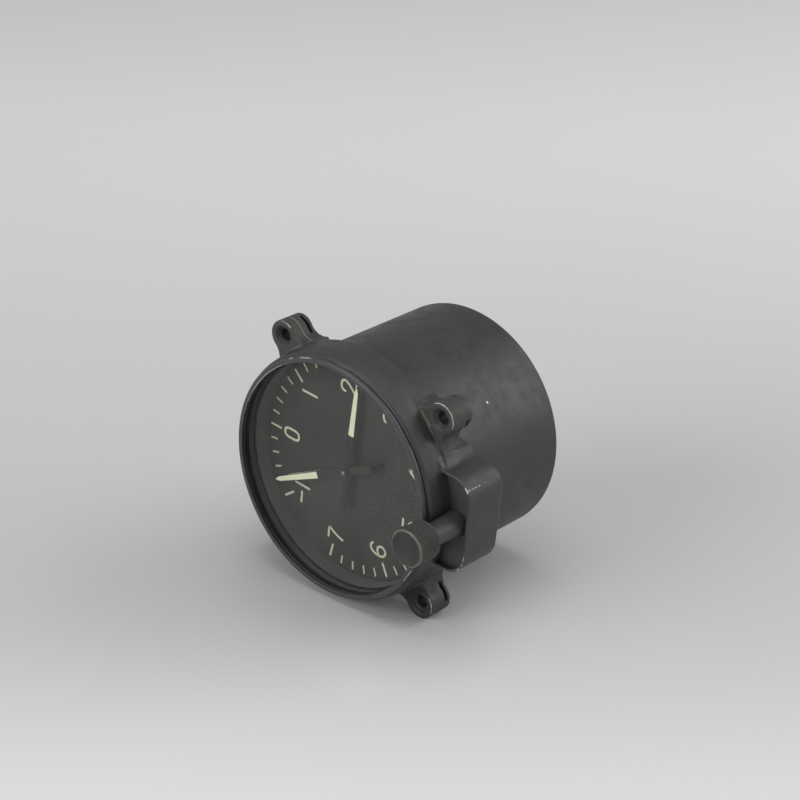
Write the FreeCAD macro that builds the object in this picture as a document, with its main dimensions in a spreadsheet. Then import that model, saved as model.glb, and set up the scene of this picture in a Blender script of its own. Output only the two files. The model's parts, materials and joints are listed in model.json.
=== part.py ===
"""Aircraft accelerometer (g-meter): a round dial case with a coaxial three-hand movement.

The local frame has X to the dial's right, Y back into the case and Z to the dial's top.
Its origin is the centre of the four mounting lugs' front faces. The case lies on its
side, so every sub-part is turned about Y by lie_angle, which puts +Z of the row frame up.
"""
import FreeCAD, Part
import math
import os
import re

import Sketcher

Vector = FreeCAD.Vector

# Driving sizes in millimetres or degrees: alias, value, meaning
SIZES = (
    ("lie_angle", 83.6, "turn of the dial's top away from upright"),
    ("fit_gap", 0.05, "radial gap of a running or a seated fit"),
    ("end_play", 0.2, "gap at the end of what turns"),
    ("side_play", 0.4, "gap beside what turns"),
    ("ring_wall", 2.8, "outside of the casting past the can's"),
    ("ring_back", 3.7, "casting's rear edge behind the lug plane"),
    ("ring_taper", 4.6, "length over which the casting narrows to the front"),
    ("nose_length", 9.1, "casting's nose in front of the lug plane"),
    ("nose_wall", 0.6, "wall of the nose outside the glass"),
    ("groove_width", 0.9, "bare nose between bezel and shoulder, with the bezel skirt"),
    ("ring_slope", 0.6, "narrowing of the casting towards its nose"),
    ("glass_seat", 0.85, "width of the glass's seat"),
    ("can_seat", 0.5, "width of the can's seat"),
    ("glass_ledge", 4.0, "ledge of the glass in front of the lug plane"),
    ("seat_depth", 1.5, "start of the can's seat behind the lug plane"),
    ("bezel_wall", 0.5, "outside of the bezel bead past the nose"),
    ("bezel_lap", 0.5, "bezel bead inside the glass's bore"),
    ("bezel_bead", 0.8, "bead in front of the nose"),
    ("bezel_skirt", 0.5, "skirt over the nose"),
    ("bezel_round", 0.4, "rounding of the bead"),
    ("keeper_lap", 0.6, "keeper ring inside the glass's bore"),
    ("keeper_thick", 2.0, "thickness of the keeper ring"),
    ("glass_thick", 2.5, "thickness of the glass"),
    ("glass_gap", 0.15, "gap round the glass"),
    ("gasket_thick", 0.5, "thickness of both gaskets"),
    ("can_radius", 36.4, "outer radius of the rear can"),
    ("can_wall", 1.0, "wall of the rear can"),
    ("can_floor", 1.2, "floor of the rear can"),
    ("can_back", 52.7, "rear face of the can behind the lug plane"),
    ("can_round", 1.2, "rounding of the can's rear edge"),
    ("lug_reach", 5.25, "lug holes outside the casting's ring"),
    ("lug_radius", 4.9, "radius of a lug boss"),
    ("lug_depth", 8.4, "length of a lug boss"),
    ("lug_hole", 1.9, "radius of a lug hole"),
    ("lug_flare", 2.5, "concave radius where a lug leaves the ring"),
    ("lug_root", 2.9, "foot of a lug's blank inside the bore"),
    ("nut_side", 6.0, "side of a captive nut"),
    ("nut_thick", 1.0, "thickness of a captive nut"),
    ("nut_depth", 6.2, "captive nut behind the lug plane"),
    ("housing_shift", 1.8, "knob housing to the right of the centre line"),
    ("housing_half", 16.2, "half the width of the knob housing"),
    ("housing_drop", 8.1, "housing's outer face outside the casting's ring"),
    ("housing_front", 2.1, "housing's rim in front of the lug plane"),
    ("housing_back", 12.7, "housing's rear face behind the lug plane"),
    ("housing_corner", 6.5, "corner radius of the housing"),
    ("housing_flare", 4.5, "concave radius where the housing leaves the ring"),
    ("housing_root", 9.9, "top of the housing's blank inside the bore"),
    ("housing_floor", 1.5, "rear wall of the housing"),
    ("rim_wall", 1.2, "wall of the housing's front rim"),
    ("housing_wall", 1.6, "side wall of the housing"),
    ("housing_skin", 1.15, "wall between housing and can"),
    ("edge_round", 0.6, "rounding of the casting's outer edges"),
    ("cover_set", 0.1, "cover's face in front of the lug plane"),
    ("cover_thick", 1.2, "thickness of the housing cover"),
    ("knob_out", 2.2, "knob's axis outside the casting's ring"),
    ("knob_radius", 5.8, "radius of the knob"),
    ("knob_length", 8.3, "length of the knob"),
    ("knob_front", 21.25, "knob's face in front of the lug plane"),
    ("knob_chamfer", 0.5, "chamfers of the knob"),
    ("knob_gap", 0.5, "gap between knob and bushing"),
    ("knob_sink", 5.0, "depth of the shaft in the knob"),
    ("bushing_radius", 3.1, "outer radius of the knob bushing"),
    ("bushing_foot", 4.3, "radius of the bushing's flared foot"),
    ("foot_length", 2.4, "length of the flared foot"),
    ("shaft_radius", 1.5, "radius of the knob shaft"),
    ("clip_radius", 2.7, "radius of the shaft clip"),
    ("clip_thick", 0.6, "thickness of the shaft clip"),
    ("dial_depth", 1.0, "dial's face behind the lug plane"),
    ("dial_thick", 0.8, "thickness of the dial"),
    ("dial_gap", 0.3, "gap round the dial"),
    ("dial_hole", 2.2, "radius of the dial's centre hole"),
    ("dial_foot", 1.0, "radius of a dial foot"),
    ("foot_inset", 9.5, "dial feet and rear posts inside the plates' rim"),
    ("plate_gap", 1.9, "gap round both movement plates"),
    ("plate_thick", 1.5, "thickness of both movement plates"),
    ("front_plate_depth", 8.0, "front plate behind the lug plane"),
    ("post_length", 6.0, "rear plate in front of the can's floor"),
    ("pillar_radius", 2.0, "radius of the plate pillars"),
    ("pillar_inset", 4.5, "plate pillars inside the plates' rim"),
    ("screw_radius", 1.0, "radius of the small screws' shanks"),
    ("head_radius", 1.9, "radius of the small screws' heads"),
    ("head_thick", 1.0, "height of the small screws' heads"),
    ("thread_length", 3.0, "small screws' thread past the plate"),
    ("screw_slot", 0.4, "width of the screw slots"),
    ("post_radius", 2.5, "radius of the rear posts"),
    ("case_screw_radius", 1.25, "radius of the case screws' shanks"),
    ("case_head_radius", 2.6, "radius of the case screws' heads"),
    ("case_head_thick", 1.5, "height of the case screws' heads"),
    ("bridge_half", 4.0, "half the width of the centre bridge"),
    ("bridge_reach", 18.0, "half the length of the centre bridge"),
    ("bridge_gap", 2.5, "gap between transfer wheel and centre bridge"),
    ("bridge_thick", 1.2, "thickness of the centre bridge"),
    ("bridge_post_reach", 15.0, "centre bridge's posts from the centre"),
    ("bridge_post_radius", 1.8, "radius of the centre bridge's posts"),
    ("beam_half", 10.0, "half the width of the rod beams"),
    ("beam_inset", 9.5, "near face of a rod beam inside the plates' rim"),
    ("beam_thick", 3.0, "thickness of a rod beam"),
    ("rod_radius", 1.25, "radius of the guide rods"),
    ("rod_spread", 7.0, "guide rods from the centre line"),
    ("rod_sink", 1.5, "depth of the guide rods in the beams"),
    ("weight_half", 11.0, "half the width of the weight"),
    ("weight_height", 8.0, "half the height of the weight"),
    ("weight_front", 20.0, "front of the weight behind the lug plane"),
    ("weight_room", 6.0, "gap behind the weight"),
    ("spring_radius", 3.2, "mean radius of the weight springs"),
    ("spring_wire", 0.35, "radius of the weight springs' wire"),
    ("spring_turns", 6.0, "turns of a weight spring"),
    ("rack_module", 0.5, "module of the rack and its pinion"),
    ("rack_teeth", 12, "teeth of the rack pinion"),
    ("rack_back", 1.6, "thickness of the rack behind its pitch line"),
    ("rack_front", 24.0, "front of the rack behind the lug plane"),
    ("rack_width", 3.0, "face width of the rack"),
    ("wheel_module", 0.45, "module of the transfer wheel"),
    ("wheel_teeth", 60, "teeth of the transfer wheel"),
    ("centre_teeth", 12, "teeth of the centre pinion"),
    ("wheel_gap", 1.5, "gap between front plate and transfer wheel"),
    ("wheel_thick", 1.0, "thickness of the transfer wheel"),
    ("arbor_radius", 0.8, "radius of the transfer arbor"),
    ("staff_radius", 0.6, "radius of the centre staff"),
    ("max_tube", 1.05, "outer radius of the high hand's tube"),
    ("min_tube", 1.6, "outer radius of the low hand's tube"),
    ("centre_bush", 2.4, "outer radius of the centre bushing"),
    ("hand_thick", 0.4, "thickness of the hands"),
    ("hand_rise", 1.6, "rear face of the low hand in front of the dial"),
    ("hand_pitch", 0.9, "step from one hand to the next"),
    ("hand_root", 1.35, "half-width of a hand at its lit part's root"),
    ("hand_tip", 0.5, "half-width of a hand at its tip"),
    ("hand_hub", 2.6, "radius of a hand's hub"),
    ("main_reach", 31.8, "length of the main hand"),
    ("main_tail", 12.3, "tail of the main hand"),
    ("memory_reach", 29.0, "length of the two memory hands"),
    ("memory_tail", 13.4, "tail of the two memory hands"),
    ("low_angle", -29.4, "reading angle of the main and the low hand"),
    ("high_angle", 92.0, "reading angle of the high hand"),
    ("cap_radius", 1.7, "radius of the hand cap"),
    ("cap_height", 0.7, "height of the hand cap"),
    ("ratchet_radius", 6.0, "tip radius of the ratchets"),
    ("ratchet_teeth", 48, "teeth of a ratchet"),
    ("ratchet_tooth", 0.35, "tooth depth of a ratchet"),
    ("ratchet_thick", 0.8, "thickness of ratchets and pawls"),
    ("low_ratchet_depth", 2.8, "low ratchet behind the lug plane"),
    ("high_ratchet_depth", 4.6, "high ratchet behind the lug plane"),
    ("pawl_side", 9.7, "pawl pin to the left of the centre"),
    ("pawl_rise", 2.7, "pawl pin above the centre"),
    ("pawl_pin_radius", 0.9, "radius of the pawl pin"),
    ("pawl_hub", 2.0, "radius of a pawl's hub"),
    ("pawl_bar", 1.2, "width of a pawl's arms"),
    ("pawl_gap", 0.1, "gap between pawl tip and ratchet"),
    ("pawl_tail", 17.2, "length of a pawl's tail"),
    ("reset_module", 0.5, "module of the knob pinion and lever"),
    ("knob_teeth", 12, "teeth of the knob pinion"),
    ("lever_teeth", 58, "teeth of the lever's full circle"),
    ("lever_spread", 20.0, "half-angle of the lever's toothed sector"),
    ("lever_depth", 6.0, "lever behind the lug plane"),
    ("lever_thick", 1.2, "thickness of the lever"),
    ("lever_pin_radius", 1.2, "radius of the lever pin"),
    ("lever_hub", 2.6, "radius of the lever's hub"),
    ("finger_side", 8.0, "lever's finger to the left of the centre"),
    ("finger_drop", 12.0, "lever's finger below the centre"),
    ("finger_radius", 0.8, "radius of the lever's finger"),
    ("window_half", 8.6, "half the width of the lever's window in the can"),
)
# Sizes that follow from the driving ones: name, expression
FOLLOWING = {
    "ring_radius": "can_radius + ring_wall",
    "shoulder_radius": "ring_radius - ring_slope",
    "case_bore": "can_radius - can_seat",
    "glass_bore": "case_bore + glass_seat",
    "nose_radius": "glass_bore + nose_wall",
    "bezel_radius": "nose_radius + bezel_wall",
    "bezel_lip": "glass_bore - bezel_lap",
    "keeper_lip": "glass_bore - keeper_lap",
    "glass_radius": "glass_bore - glass_gap",
    "dial_radius": "case_bore - dial_gap",
    "bolt_radius": "ring_radius + lug_reach",
    "housing_reach": "ring_radius + housing_drop",
    "knob_drop": "ring_radius + knob_out",
    "plate_radius": "can_radius - can_wall - plate_gap",
    "foot_circle": "plate_radius - foot_inset",
    "pillar_circle": "plate_radius - pillar_inset",
    "rear_plate_depth": "can_back - can_floor - post_length - plate_thick",
    "weight_length": "rear_plate_depth - weight_front - weight_room",
    "wheel_depth": "front_plate_depth + plate_thick + wheel_gap",
    "bridge_depth": "wheel_depth + wheel_thick + bridge_gap",
    "beam_near": "plate_radius - beam_inset",
}
LUG_ANGLES = (45, 135, 225, 315)
PILLAR_ANGLES = (50, 130, 270)
DIAL_FOOT_ANGLES = (60, 130, 300)
REAR_POST_ANGLES = (0, 120, 240)
TOOTH = ((-0.31, -1.15), (-0.19, 0.0), (-0.09, 0.75), (0.09, 0.75), (0.19, 0.0), (0.31, -1.15))

doc = FreeCAD.newDocument("AircraftAccelerometer")
sheet = doc.addObject("Spreadsheet::Sheet", "Sizes")
for row, (alias, value, meaning) in enumerate(SIZES, start=1):
    sheet.set("A%d" % row, alias)
    sheet.set("B%d" % row, str(value))
    sheet.set("C%d" % row, meaning)
    sheet.setAlias("B%d" % row, alias)
doc.recompute()

ALIASES = {alias for alias, _, _ in SIZES}
SUBPARTS = []


def spelled(text):
    """The expression with every following size written out in driving ones."""
    words = [word for word in re.findall("[a-z_]+", text) if word in FOLLOWING]
    for word in words:
        text = re.sub(r"\b%s\b" % word, "(%s)" % FOLLOWING[word], text)
    return spelled(text) if words else text


def bound(text):
    """Turn words that are aliases into references to the sheet's cells."""
    def cell(match):
        return "Sizes." + match.group() if match.group() in ALIASES else match.group()
    return re.sub("[a-z_]+", cell, spelled(str(text)))


def size(text):
    """Value of an expression in the sheet's aliases."""
    result = sheet.evalExpression(bound(text))
    return float(getattr(result, "Value", result))


def tie(item, prop, text):
    """Bind a property to an expression in the sheet's aliases."""
    item.setExpression(prop, bound(text))


def kept(item, label):
    """Name a finished sub-part and lay it on its side with the case."""
    item.Label = label
    turn = FreeCAD.Rotation(Vector(0, 1, 0), -size("lie_angle"))
    item.Placement = FreeCAD.Placement(Vector(0, 0, 0), turn)
    tie(item, "Placement.Rotation.Angle", "-lie_angle * 1 deg")
    SUBPARTS.append(item)
    return item


def alone(name, item):
    """One primitive as a sub-part of its own, free to be laid on its side."""
    group = doc.addObject("Part::Compound", name)
    group.Links = [item]
    return group


def polar(circle, angle):
    """X and Z of a point on a circle, clockwise from the dial's top."""
    turn = math.radians(angle)
    return ("%s * %.9f" % (circle, math.sin(turn)), "%s * %.9f" % (circle, math.cos(turn)))


def origin_plane(body, role):
    """One of a body's own origin planes."""
    return next(item for item in body.Origin.OriginFeatures if item.Role == role)


def sketch_on(body, role, name):
    """Empty sketch on an origin plane of the body."""
    sketch = body.newObject("Sketcher::SketchObject", name)
    sketch.AttachmentSupport = [(origin_plane(body, role), "")]
    sketch.MapMode = "FlatFace"
    return sketch


def bound_outline(sketch, corners):
    """Closed polygon whose corners are pairs of expressions."""
    start = len(sketch.Geometry)
    points = [Vector(size(across), size(along), 0) for across, along in corners]
    count = len(points)
    for index in range(count):
        sketch.addGeometry(Part.LineSegment(points[index], points[(index + 1) % count]))
    for index in range(count):
        following = start + (index + 1) % count
        sketch.addConstraint(Sketcher.Constraint("Coincident", start + index, 2, following, 1))
    for index, (across, along) in enumerate(corners):
        point = points[index]
        for kind, text, value in (("DistanceX", across, point.x), ("DistanceY", along, point.y)):
            number = sketch.addConstraint(Sketcher.Constraint(kind, start + index, 1, value))
            tie(sketch, "Constraints[%d]" % number, text)


def bound_circle(sketch, across, along, radius):
    """Circle whose centre and radius are expressions."""
    centre = Vector(size(across), size(along), 0)
    index = sketch.addGeometry(Part.Circle(centre, Vector(0, 0, 1), size(radius)))
    for kind, text, value in (("DistanceX", across, centre.x), ("DistanceY", along, centre.y)):
        number = sketch.addConstraint(Sketcher.Constraint(kind, index, 3, value))
        tie(sketch, "Constraints[%d]" % number, text)
    number = sketch.addConstraint(Sketcher.Constraint("Radius", index, size(radius)))
    tie(sketch, "Constraints[%d]" % number, radius)


def turned(name, corners):
    """Body turned about the instrument's axis from radius and depth pairs."""
    body = doc.addObject("PartDesign::Body", name)
    doc.recompute()
    profile = sketch_on(body, "XY_Plane", name + "Profile")
    bound_outline(profile, corners)
    turn = body.newObject("PartDesign::Revolution", name + "Turn")
    turn.Profile = profile
    turn.ReferenceAxis = (profile, ["V_Axis"])
    turn.Angle = 360
    doc.recompute()
    return body


def drilled(body, name, circles):
    """Bore circles, as centre and radius expressions, along Y right through a body."""
    before = body.Shape.Volume
    pattern = sketch_on(body, "XZ_Plane", name)
    for across, along, radius in circles:
        bound_circle(pattern, across, along, radius)
    pocket = body.newObject("PartDesign::Pocket", name + "Bore")
    pocket.Profile = pattern
    pocket.Type = "ThroughAll"
    pocket.SideType = "Symmetric"
    doc.recompute()
    if body.Shape.Volume >= before:
        raise RuntimeError(name + " cut nothing")
    return body


def rod(name, radius, front, back, across="0", along="0"):
    """Cylinder along Y between two depths, about a point of the dial plane."""
    item = doc.addObject("Part::Cylinder", name)
    item.Placement = FreeCAD.Placement(Vector(0, 0, 0), FreeCAD.Rotation(Vector(1, 0, 0), -90))
    tie(item, "Radius", radius)
    tie(item, "Height", "(%s) - (%s)" % (back, front))
    tie(item, "Placement.Base.x", across)
    tie(item, "Placement.Base.y", front)
    tie(item, "Placement.Base.z", along)
    return item


def upright_rod(name, radius, bottom, top, across, depth):
    """Cylinder along Z between two heights."""
    item = doc.addObject("Part::Cylinder", name)
    tie(item, "Radius", radius)
    tie(item, "Height", "(%s) - (%s)" % (top, bottom))
    tie(item, "Placement.Base.x", across)
    tie(item, "Placement.Base.y", depth)
    tie(item, "Placement.Base.z", bottom)
    return item


def block(name, across, depth, height):
    """Box between pairs of expressions along X, Y and Z."""
    item = doc.addObject("Part::Box", name)
    for side, axis, (low, high) in (("Length", "x", across), ("Width", "y", depth), ("Height", "z", height)):
        tie(item, side, "(%s) - (%s)" % (high, low))
        tie(item, "Placement.Base." + axis, low)
    return item


def joined(name, items):
    """Union of several primitives, or a group of separate ones."""
    if len(items) == 1:
        return items[0]
    union = doc.addObject("Part::MultiFuse", name)
    union.Shapes = items
    return union


def cut(name, base, tools):
    """Base with one or more tools taken away."""
    result = doc.addObject("Part::Cut", name)
    result.Base = base
    result.Tool = joined(name + "Tools", tools)
    return result


def shaped(name, shape):
    """Sub-part whose shape is worked out from the sheet's values, grouped where it has been turned."""
    item = doc.addObject("Part::Feature", name)
    if not shape.Placement.isIdentity():
        shape = Part.makeCompound([shape])
    item.Shape = shape
    return item


def at_depth(points, depth):
    """Closed wire through dial-plane points at a depth."""
    corners = [Vector(x, depth, z) for x, z in points]
    return Part.makePolygon(corners + corners[:1])


def slab(wire, thickness):
    """Extrude a closed flat wire backwards."""
    return Part.Face(wire).extrude(Vector(0, thickness, 0))


def disc(radius, front, back, x=0.0, z=0.0):
    """Plain cylinder along Y."""
    return Part.makeCylinder(radius, back - front, Vector(x, front, z), Vector(0, 1, 0))


def turned_about_y(shape, angle, x=0.0, z=0.0):
    """Copy turned clockwise, as seen from the front, about a point of the dial plane."""
    copy = shape.copy()
    copy.rotate(Vector(x, 0, z), Vector(0, 1, 0), angle)
    return copy


def gear_points(teeth, module, start, count=None):
    """Teeth as trapezoids on a circle, clockwise from a start angle, with a tooth on it."""
    pitch = 360.0 / teeth
    radius = module * teeth / 2
    points = []
    for tooth in range(count or teeth):
        for share, height in TOOTH:
            turn = math.radians(start + (tooth + share) * pitch)
            reach = radius + height * module
            points.append((reach * math.sin(turn), reach * math.cos(turn)))
    return points


def gear(teeth, module, bore, front, width, start, x=0.0, z=0.0):
    """Spur gear with one tooth at the start angle."""
    outline = [(x + px, z + pz) for px, pz in gear_points(teeth, module, start)]
    return slab(at_depth(outline, front), width).cut(disc(bore, front - 1, front + width + 1, x, z))


def three_points(centre, radius, first, last, side):
    """Arc from first to last about a centre, bulging to the given side."""
    middle = Vector(centre[0] + side[0] * radius, 0, centre[1] + side[1] * radius)
    return Part.Arc(Vector(first[0], 0, first[1]), middle, Vector(last[0], 0, last[1])).toShape()


def unit(x, z):
    """Direction of length one."""
    length = math.hypot(x, z)
    return (x / length, z / length)


def blend_centre(big, small_radius, small_height, flare, side):
    """Centre of a concave arc that touches the ring circle and a circle on the Z axis."""
    far = big + flare
    near = small_radius + flare
    height = (far ** 2 - near ** 2 + small_height ** 2) / (2 * small_height)
    return (side * math.sqrt(far ** 2 - height ** 2), height)


def lug_shape():
    """One lug pointing up: round boss, flared neck and a foot inside the ring."""
    ring = size("ring_radius")
    boss = size("lug_radius")
    flare = size("lug_flare")
    reach = size("bolt_radius")
    foot = size("case_bore - lug_root")
    edges = []
    ends = {}
    for side in (-1, 1):
        centre = blend_centre(ring, boss, reach, flare, side)
        on_ring = (centre[0] * ring / (ring + flare), centre[1] * ring / (ring + flare))
        to_boss = unit(-centre[0], reach - centre[1])
        on_boss = (centre[0] + to_boss[0] * flare, centre[1] + to_boss[1] * flare)
        to_ring = unit(-centre[0], -centre[1])
        middle = unit(to_boss[0] + to_ring[0], to_boss[1] + to_ring[1])
        edges.append(three_points(centre, flare, on_ring, on_boss, middle))
        ends[side] = (on_ring, on_boss)
    edges.append(three_points((0, reach), boss, ends[-1][1], ends[1][1], (0, 1)))
    low = [(ends[1][0][0], foot), (ends[-1][0][0], foot)]
    line = [ends[1][0], low[0], low[1], ends[-1][0]]
    for first, last in zip(line, line[1:]):
        edges.append(Part.makeLine(Vector(first[0], 0, first[1]), Vector(last[0], 0, last[1])))
    return slab(Part.Wire(Part.__sortEdges__(edges)), size("lug_depth"))


def housing_wire(wall, depth, inner):
    """Outline of the knob housing, or of its inside when inner is set."""
    ring = size("ring_radius")
    shift = size("housing_shift")
    half = size("housing_half") - wall
    bottom = -(size("housing_reach") - wall)
    corner = size("housing_corner") - wall
    flare = size("housing_flare")
    top = -size("case_bore - housing_root")
    edges = []
    line = {}
    for side in (-1, 1):
        wall_x = shift + side * half
        if inner:
            line[side] = [(wall_x, top), (wall_x, bottom + corner)]
        else:
            centre_x = wall_x + side * flare
            centre_z = -math.sqrt((ring + flare) ** 2 - centre_x ** 2)
            on_ring = (centre_x * ring / (ring + flare), centre_z * ring / (ring + flare))
            on_wall = (wall_x, centre_z)
            to_ring = unit(-centre_x, -centre_z)
            middle = unit(to_ring[0] - side, to_ring[1])
            edges.append(three_points((centre_x, centre_z), flare, on_ring, on_wall, middle))
            edges.append(Part.makeLine(Vector(on_ring[0], 0, top), Vector(on_ring[0], 0, on_ring[1])))
            line[side] = [on_wall, (wall_x, bottom + corner)]
            wall_x = on_ring[0]
        first, last = line[side]
        edges.append(Part.makeLine(Vector(first[0], 0, first[1]), Vector(last[0], 0, last[1])))
        centre = (last[0] - side * corner, bottom + corner)
        edges.append(three_points(centre, corner, last, (centre[0], bottom), unit(side, -1)))
        line[side] += [(centre[0], bottom), (wall_x, top)]
    for end in (2, 3):
        first, last = line[-1][end], line[1][end]
        edges.append(Part.makeLine(Vector(first[0], 0, first[1]), Vector(last[0], 0, last[1])))
    wire = Part.Wire(Part.__sortEdges__(edges))
    wire.translate(Vector(0, depth, 0))
    return wire


def housing_room(wall, front, back, skin):
    """Space inside the knob housing between two depths, outside a cylinder."""
    room = slab(housing_wire(wall, front, True), back - front)
    return room.cut(disc(skin, front - 1, back + 1))


def knob_axis():
    """X and Z of the knob's axis."""
    return size("housing_shift"), -size("knob_drop")


def bushing_corners(extra):
    """Half section of the knob bushing with its flared foot, grown by a gap."""
    top = size("knob_length - knob_front + knob_gap")
    face = -size("cover_set")
    root = size("bushing_radius") + extra
    foot = size("bushing_foot") + extra
    end = size("cover_thick - cover_set")
    return ((root, top), (root, face - size("foot_length")), (foot, face), (root, face), (root, end))


def about_knob(corners, bore):
    """Solid turned about the knob's axis from radius and depth pairs."""
    x, z = knob_axis()
    section = ((bore, corners[0][1]),) + corners + ((bore, corners[-1][1]),)
    points = [Vector(x + radius, depth, z) for radius, depth in section]
    face = Part.Face(Part.makePolygon(points + points[:1]))
    return face.revolve(Vector(x, 0, z), Vector(0, 1, 0), 360)


def front_casting():
    """Front casting: nose, ring, four lugs and the knob housing, bored for glass, dial and can."""
    nose = -size("nose_length")
    groove = nose + size("groove_width")
    taper = groove + size("ring_taper")
    back = size("ring_back")
    deep = max(size("lug_depth"), size("housing_back"))
    corners = (
        (0, nose),
        (size("nose_radius"), nose),
        (size("nose_radius"), groove),
        (size("shoulder_radius"), groove),
        (size("ring_radius"), taper),
        (size("ring_radius"), back),
        (0, back),
    )
    ring_wire = Part.makePolygon([Vector(radius, depth, 0) for radius, depth in corners + corners[:1]])
    body = Part.Face(ring_wire).revolve(Vector(0, 0, 0), Vector(0, 1, 0), 360)
    lug = lug_shape()
    housing_front = -size("housing_front")
    housing_back = size("housing_back")
    housing = slab(housing_wire(0, housing_front, False), housing_back - housing_front)
    outer = [edge for edge in housing.Edges if is_outer_rim(edge, housing_front, housing_back)]
    housing = housing.makeFillet(size("edge_round"), outer)
    body = body.fuse([turned_about_y(lug, angle) for angle in LUG_ANGLES] + [housing, lug_web()])
    cover_back = size("cover_thick - cover_set")
    tools = [
        disc(size("glass_bore"), nose - 1, -size("glass_ledge")),
        disc(size("case_bore"), nose - 1, deep + 1),
        disc(size("can_radius + fit_gap"), size("seat_depth"), deep + 1),
        housing_room(size("rim_wall"), housing_front - 1, cover_back, size("ring_radius")),
        housing_room(
            size("housing_wall"),
            cover_back,
            housing_back - size("housing_floor"),
            size("can_radius + fit_gap + housing_skin"),
        ),
        about_knob(bushing_corners(size("fit_gap")), 0),
        disc(size("shaft_radius + fit_gap"), 0, deep - size("housing_floor") / 3, *knob_axis()),
        lever_window(size("ring_radius")),
    ]
    for angle in LUG_ANGLES:
        tools.append(turned_about_y(lug_cuts(), angle))
    return shaped("front_casting", body.cut(tools).removeSplitter())


def is_outer_rim(edge, front, back):
    """True for the housing's front and rear edges that stand clear of the ring."""
    box = edge.BoundBox
    flat = box.YLength < 0.01 and (abs(box.YMin - front) < 0.01 or abs(box.YMin - back) < 0.01)
    middle = edge.valueAt((edge.FirstParameter + edge.LastParameter) / 2)
    return flat and math.hypot(middle.x, middle.z) > size("ring_radius") - size("edge_round") / 6


def lug_web():
    """Ring carried back between the knob housing and the lug beside it, so that one wall joins them."""
    wall = size("housing_shift + housing_half") - size("housing_wall")
    far = size("bolt_radius") / math.sqrt(2)
    front = size("ring_back") - size("housing_wall")
    back = size("lug_depth")
    block = Part.makeBox(
        far - size("lug_radius") - wall,
        back - front,
        size("ring_radius") - far + size("lug_flare"),
        Vector(wall, front, -size("ring_radius")),
    )
    return disc(size("ring_radius"), front, back).common(block)


def lug_cuts():
    """Through hole and nut slot of the lug that points up."""
    reach = size("bolt_radius")
    half = size("nut_side / 2") + size("fit_gap")
    front = size("nut_depth") - size("fit_gap")
    thick = size("nut_thick") + 2 * size("fit_gap")
    slot = Part.makeBox(2 * half, thick, half + 2 * size("lug_radius"), Vector(-half, front, reach - half))
    return disc(size("lug_hole"), -1, size("lug_depth") + 1, 0, reach).fuse(slot)


def lever_window(reach):
    """Slot from the movement out to the housing, at the depth of the reset lever."""
    front = size("lever_depth - side_play")
    back = size("lever_depth + lever_thick + side_play")
    left = size("housing_shift - window_half")
    low = -reach
    high = -size("can_radius - can_wall * 3")
    return Part.makeBox(size("window_half * 2"), back - front, high - low, Vector(left, front, low))


def captive_nuts():
    """Square nuts held in the slots of the lugs."""
    reach = size("bolt_radius")
    side = size("nut_side")
    nut = Part.makeBox(side, size("nut_thick"), side, Vector(-side / 2, size("nut_depth"), reach - side / 2))
    nut = nut.cut(disc(size("lug_hole"), 0, size("lug_depth"), 0, reach))
    return shaped("captive_nuts", Part.makeCompound([turned_about_y(nut, angle) for angle in LUG_ANGLES]))


def bezel_ring():
    """Bead that caps the casting's nose, with a skirt over it."""
    top = "0 - nose_length - bezel_bead"
    body = turned("BezelRing", (
        ("bezel_lip", "0 - nose_length"),
        ("bezel_lip", top + " + bezel_round"),
        ("bezel_lip + bezel_round", top),
        ("bezel_radius - bezel_round", top),
        ("bezel_radius", top + " + bezel_round"),
        ("bezel_radius", "0 - nose_length + bezel_skirt"),
        ("nose_radius + fit_gap", "0 - nose_length + bezel_skirt"),
        ("nose_radius + fit_gap", "0 - nose_length"),
    ))
    return kept(body, "bezel_ring")


def glass_stack():
    """Keeper ring, glass and gasket in the casting's nose, and the can's gasket."""
    glass_back = "(0 - glass_ledge - gasket_thick)"
    glass_front = glass_back + " - glass_thick"
    keeper_front = glass_front + " - keeper_thick"
    kept(turned("KeeperRing", (
        ("keeper_lip", glass_front),
        ("glass_bore - fit_gap", glass_front),
        ("glass_bore - fit_gap", keeper_front),
        ("keeper_lip + keeper_lap / 2", keeper_front),
        ("keeper_lip", keeper_front + " + keeper_lap / 2"),
    )), "glass_keeper_ring")
    kept(turned("CoverGlass", (
        ("0", glass_front),
        ("glass_radius", glass_front),
        ("glass_radius", glass_back),
        ("0", glass_back),
    )), "cover_glass")
    kept(turned("GlassGasket", (
        ("case_bore + fit_gap", glass_back),
        ("glass_radius", glass_back),
        ("glass_radius", "0 - glass_ledge"),
        ("case_bore + fit_gap", "0 - glass_ledge"),
    )), "glass_gasket")
    kept(turned("CaseGasket", (
        ("case_bore + fit_gap", "seat_depth"),
        ("can_radius", "seat_depth"),
        ("can_radius", "seat_depth + gasket_thick"),
        ("case_bore + fit_gap", "seat_depth + gasket_thick"),
    )), "case_gasket")


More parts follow.
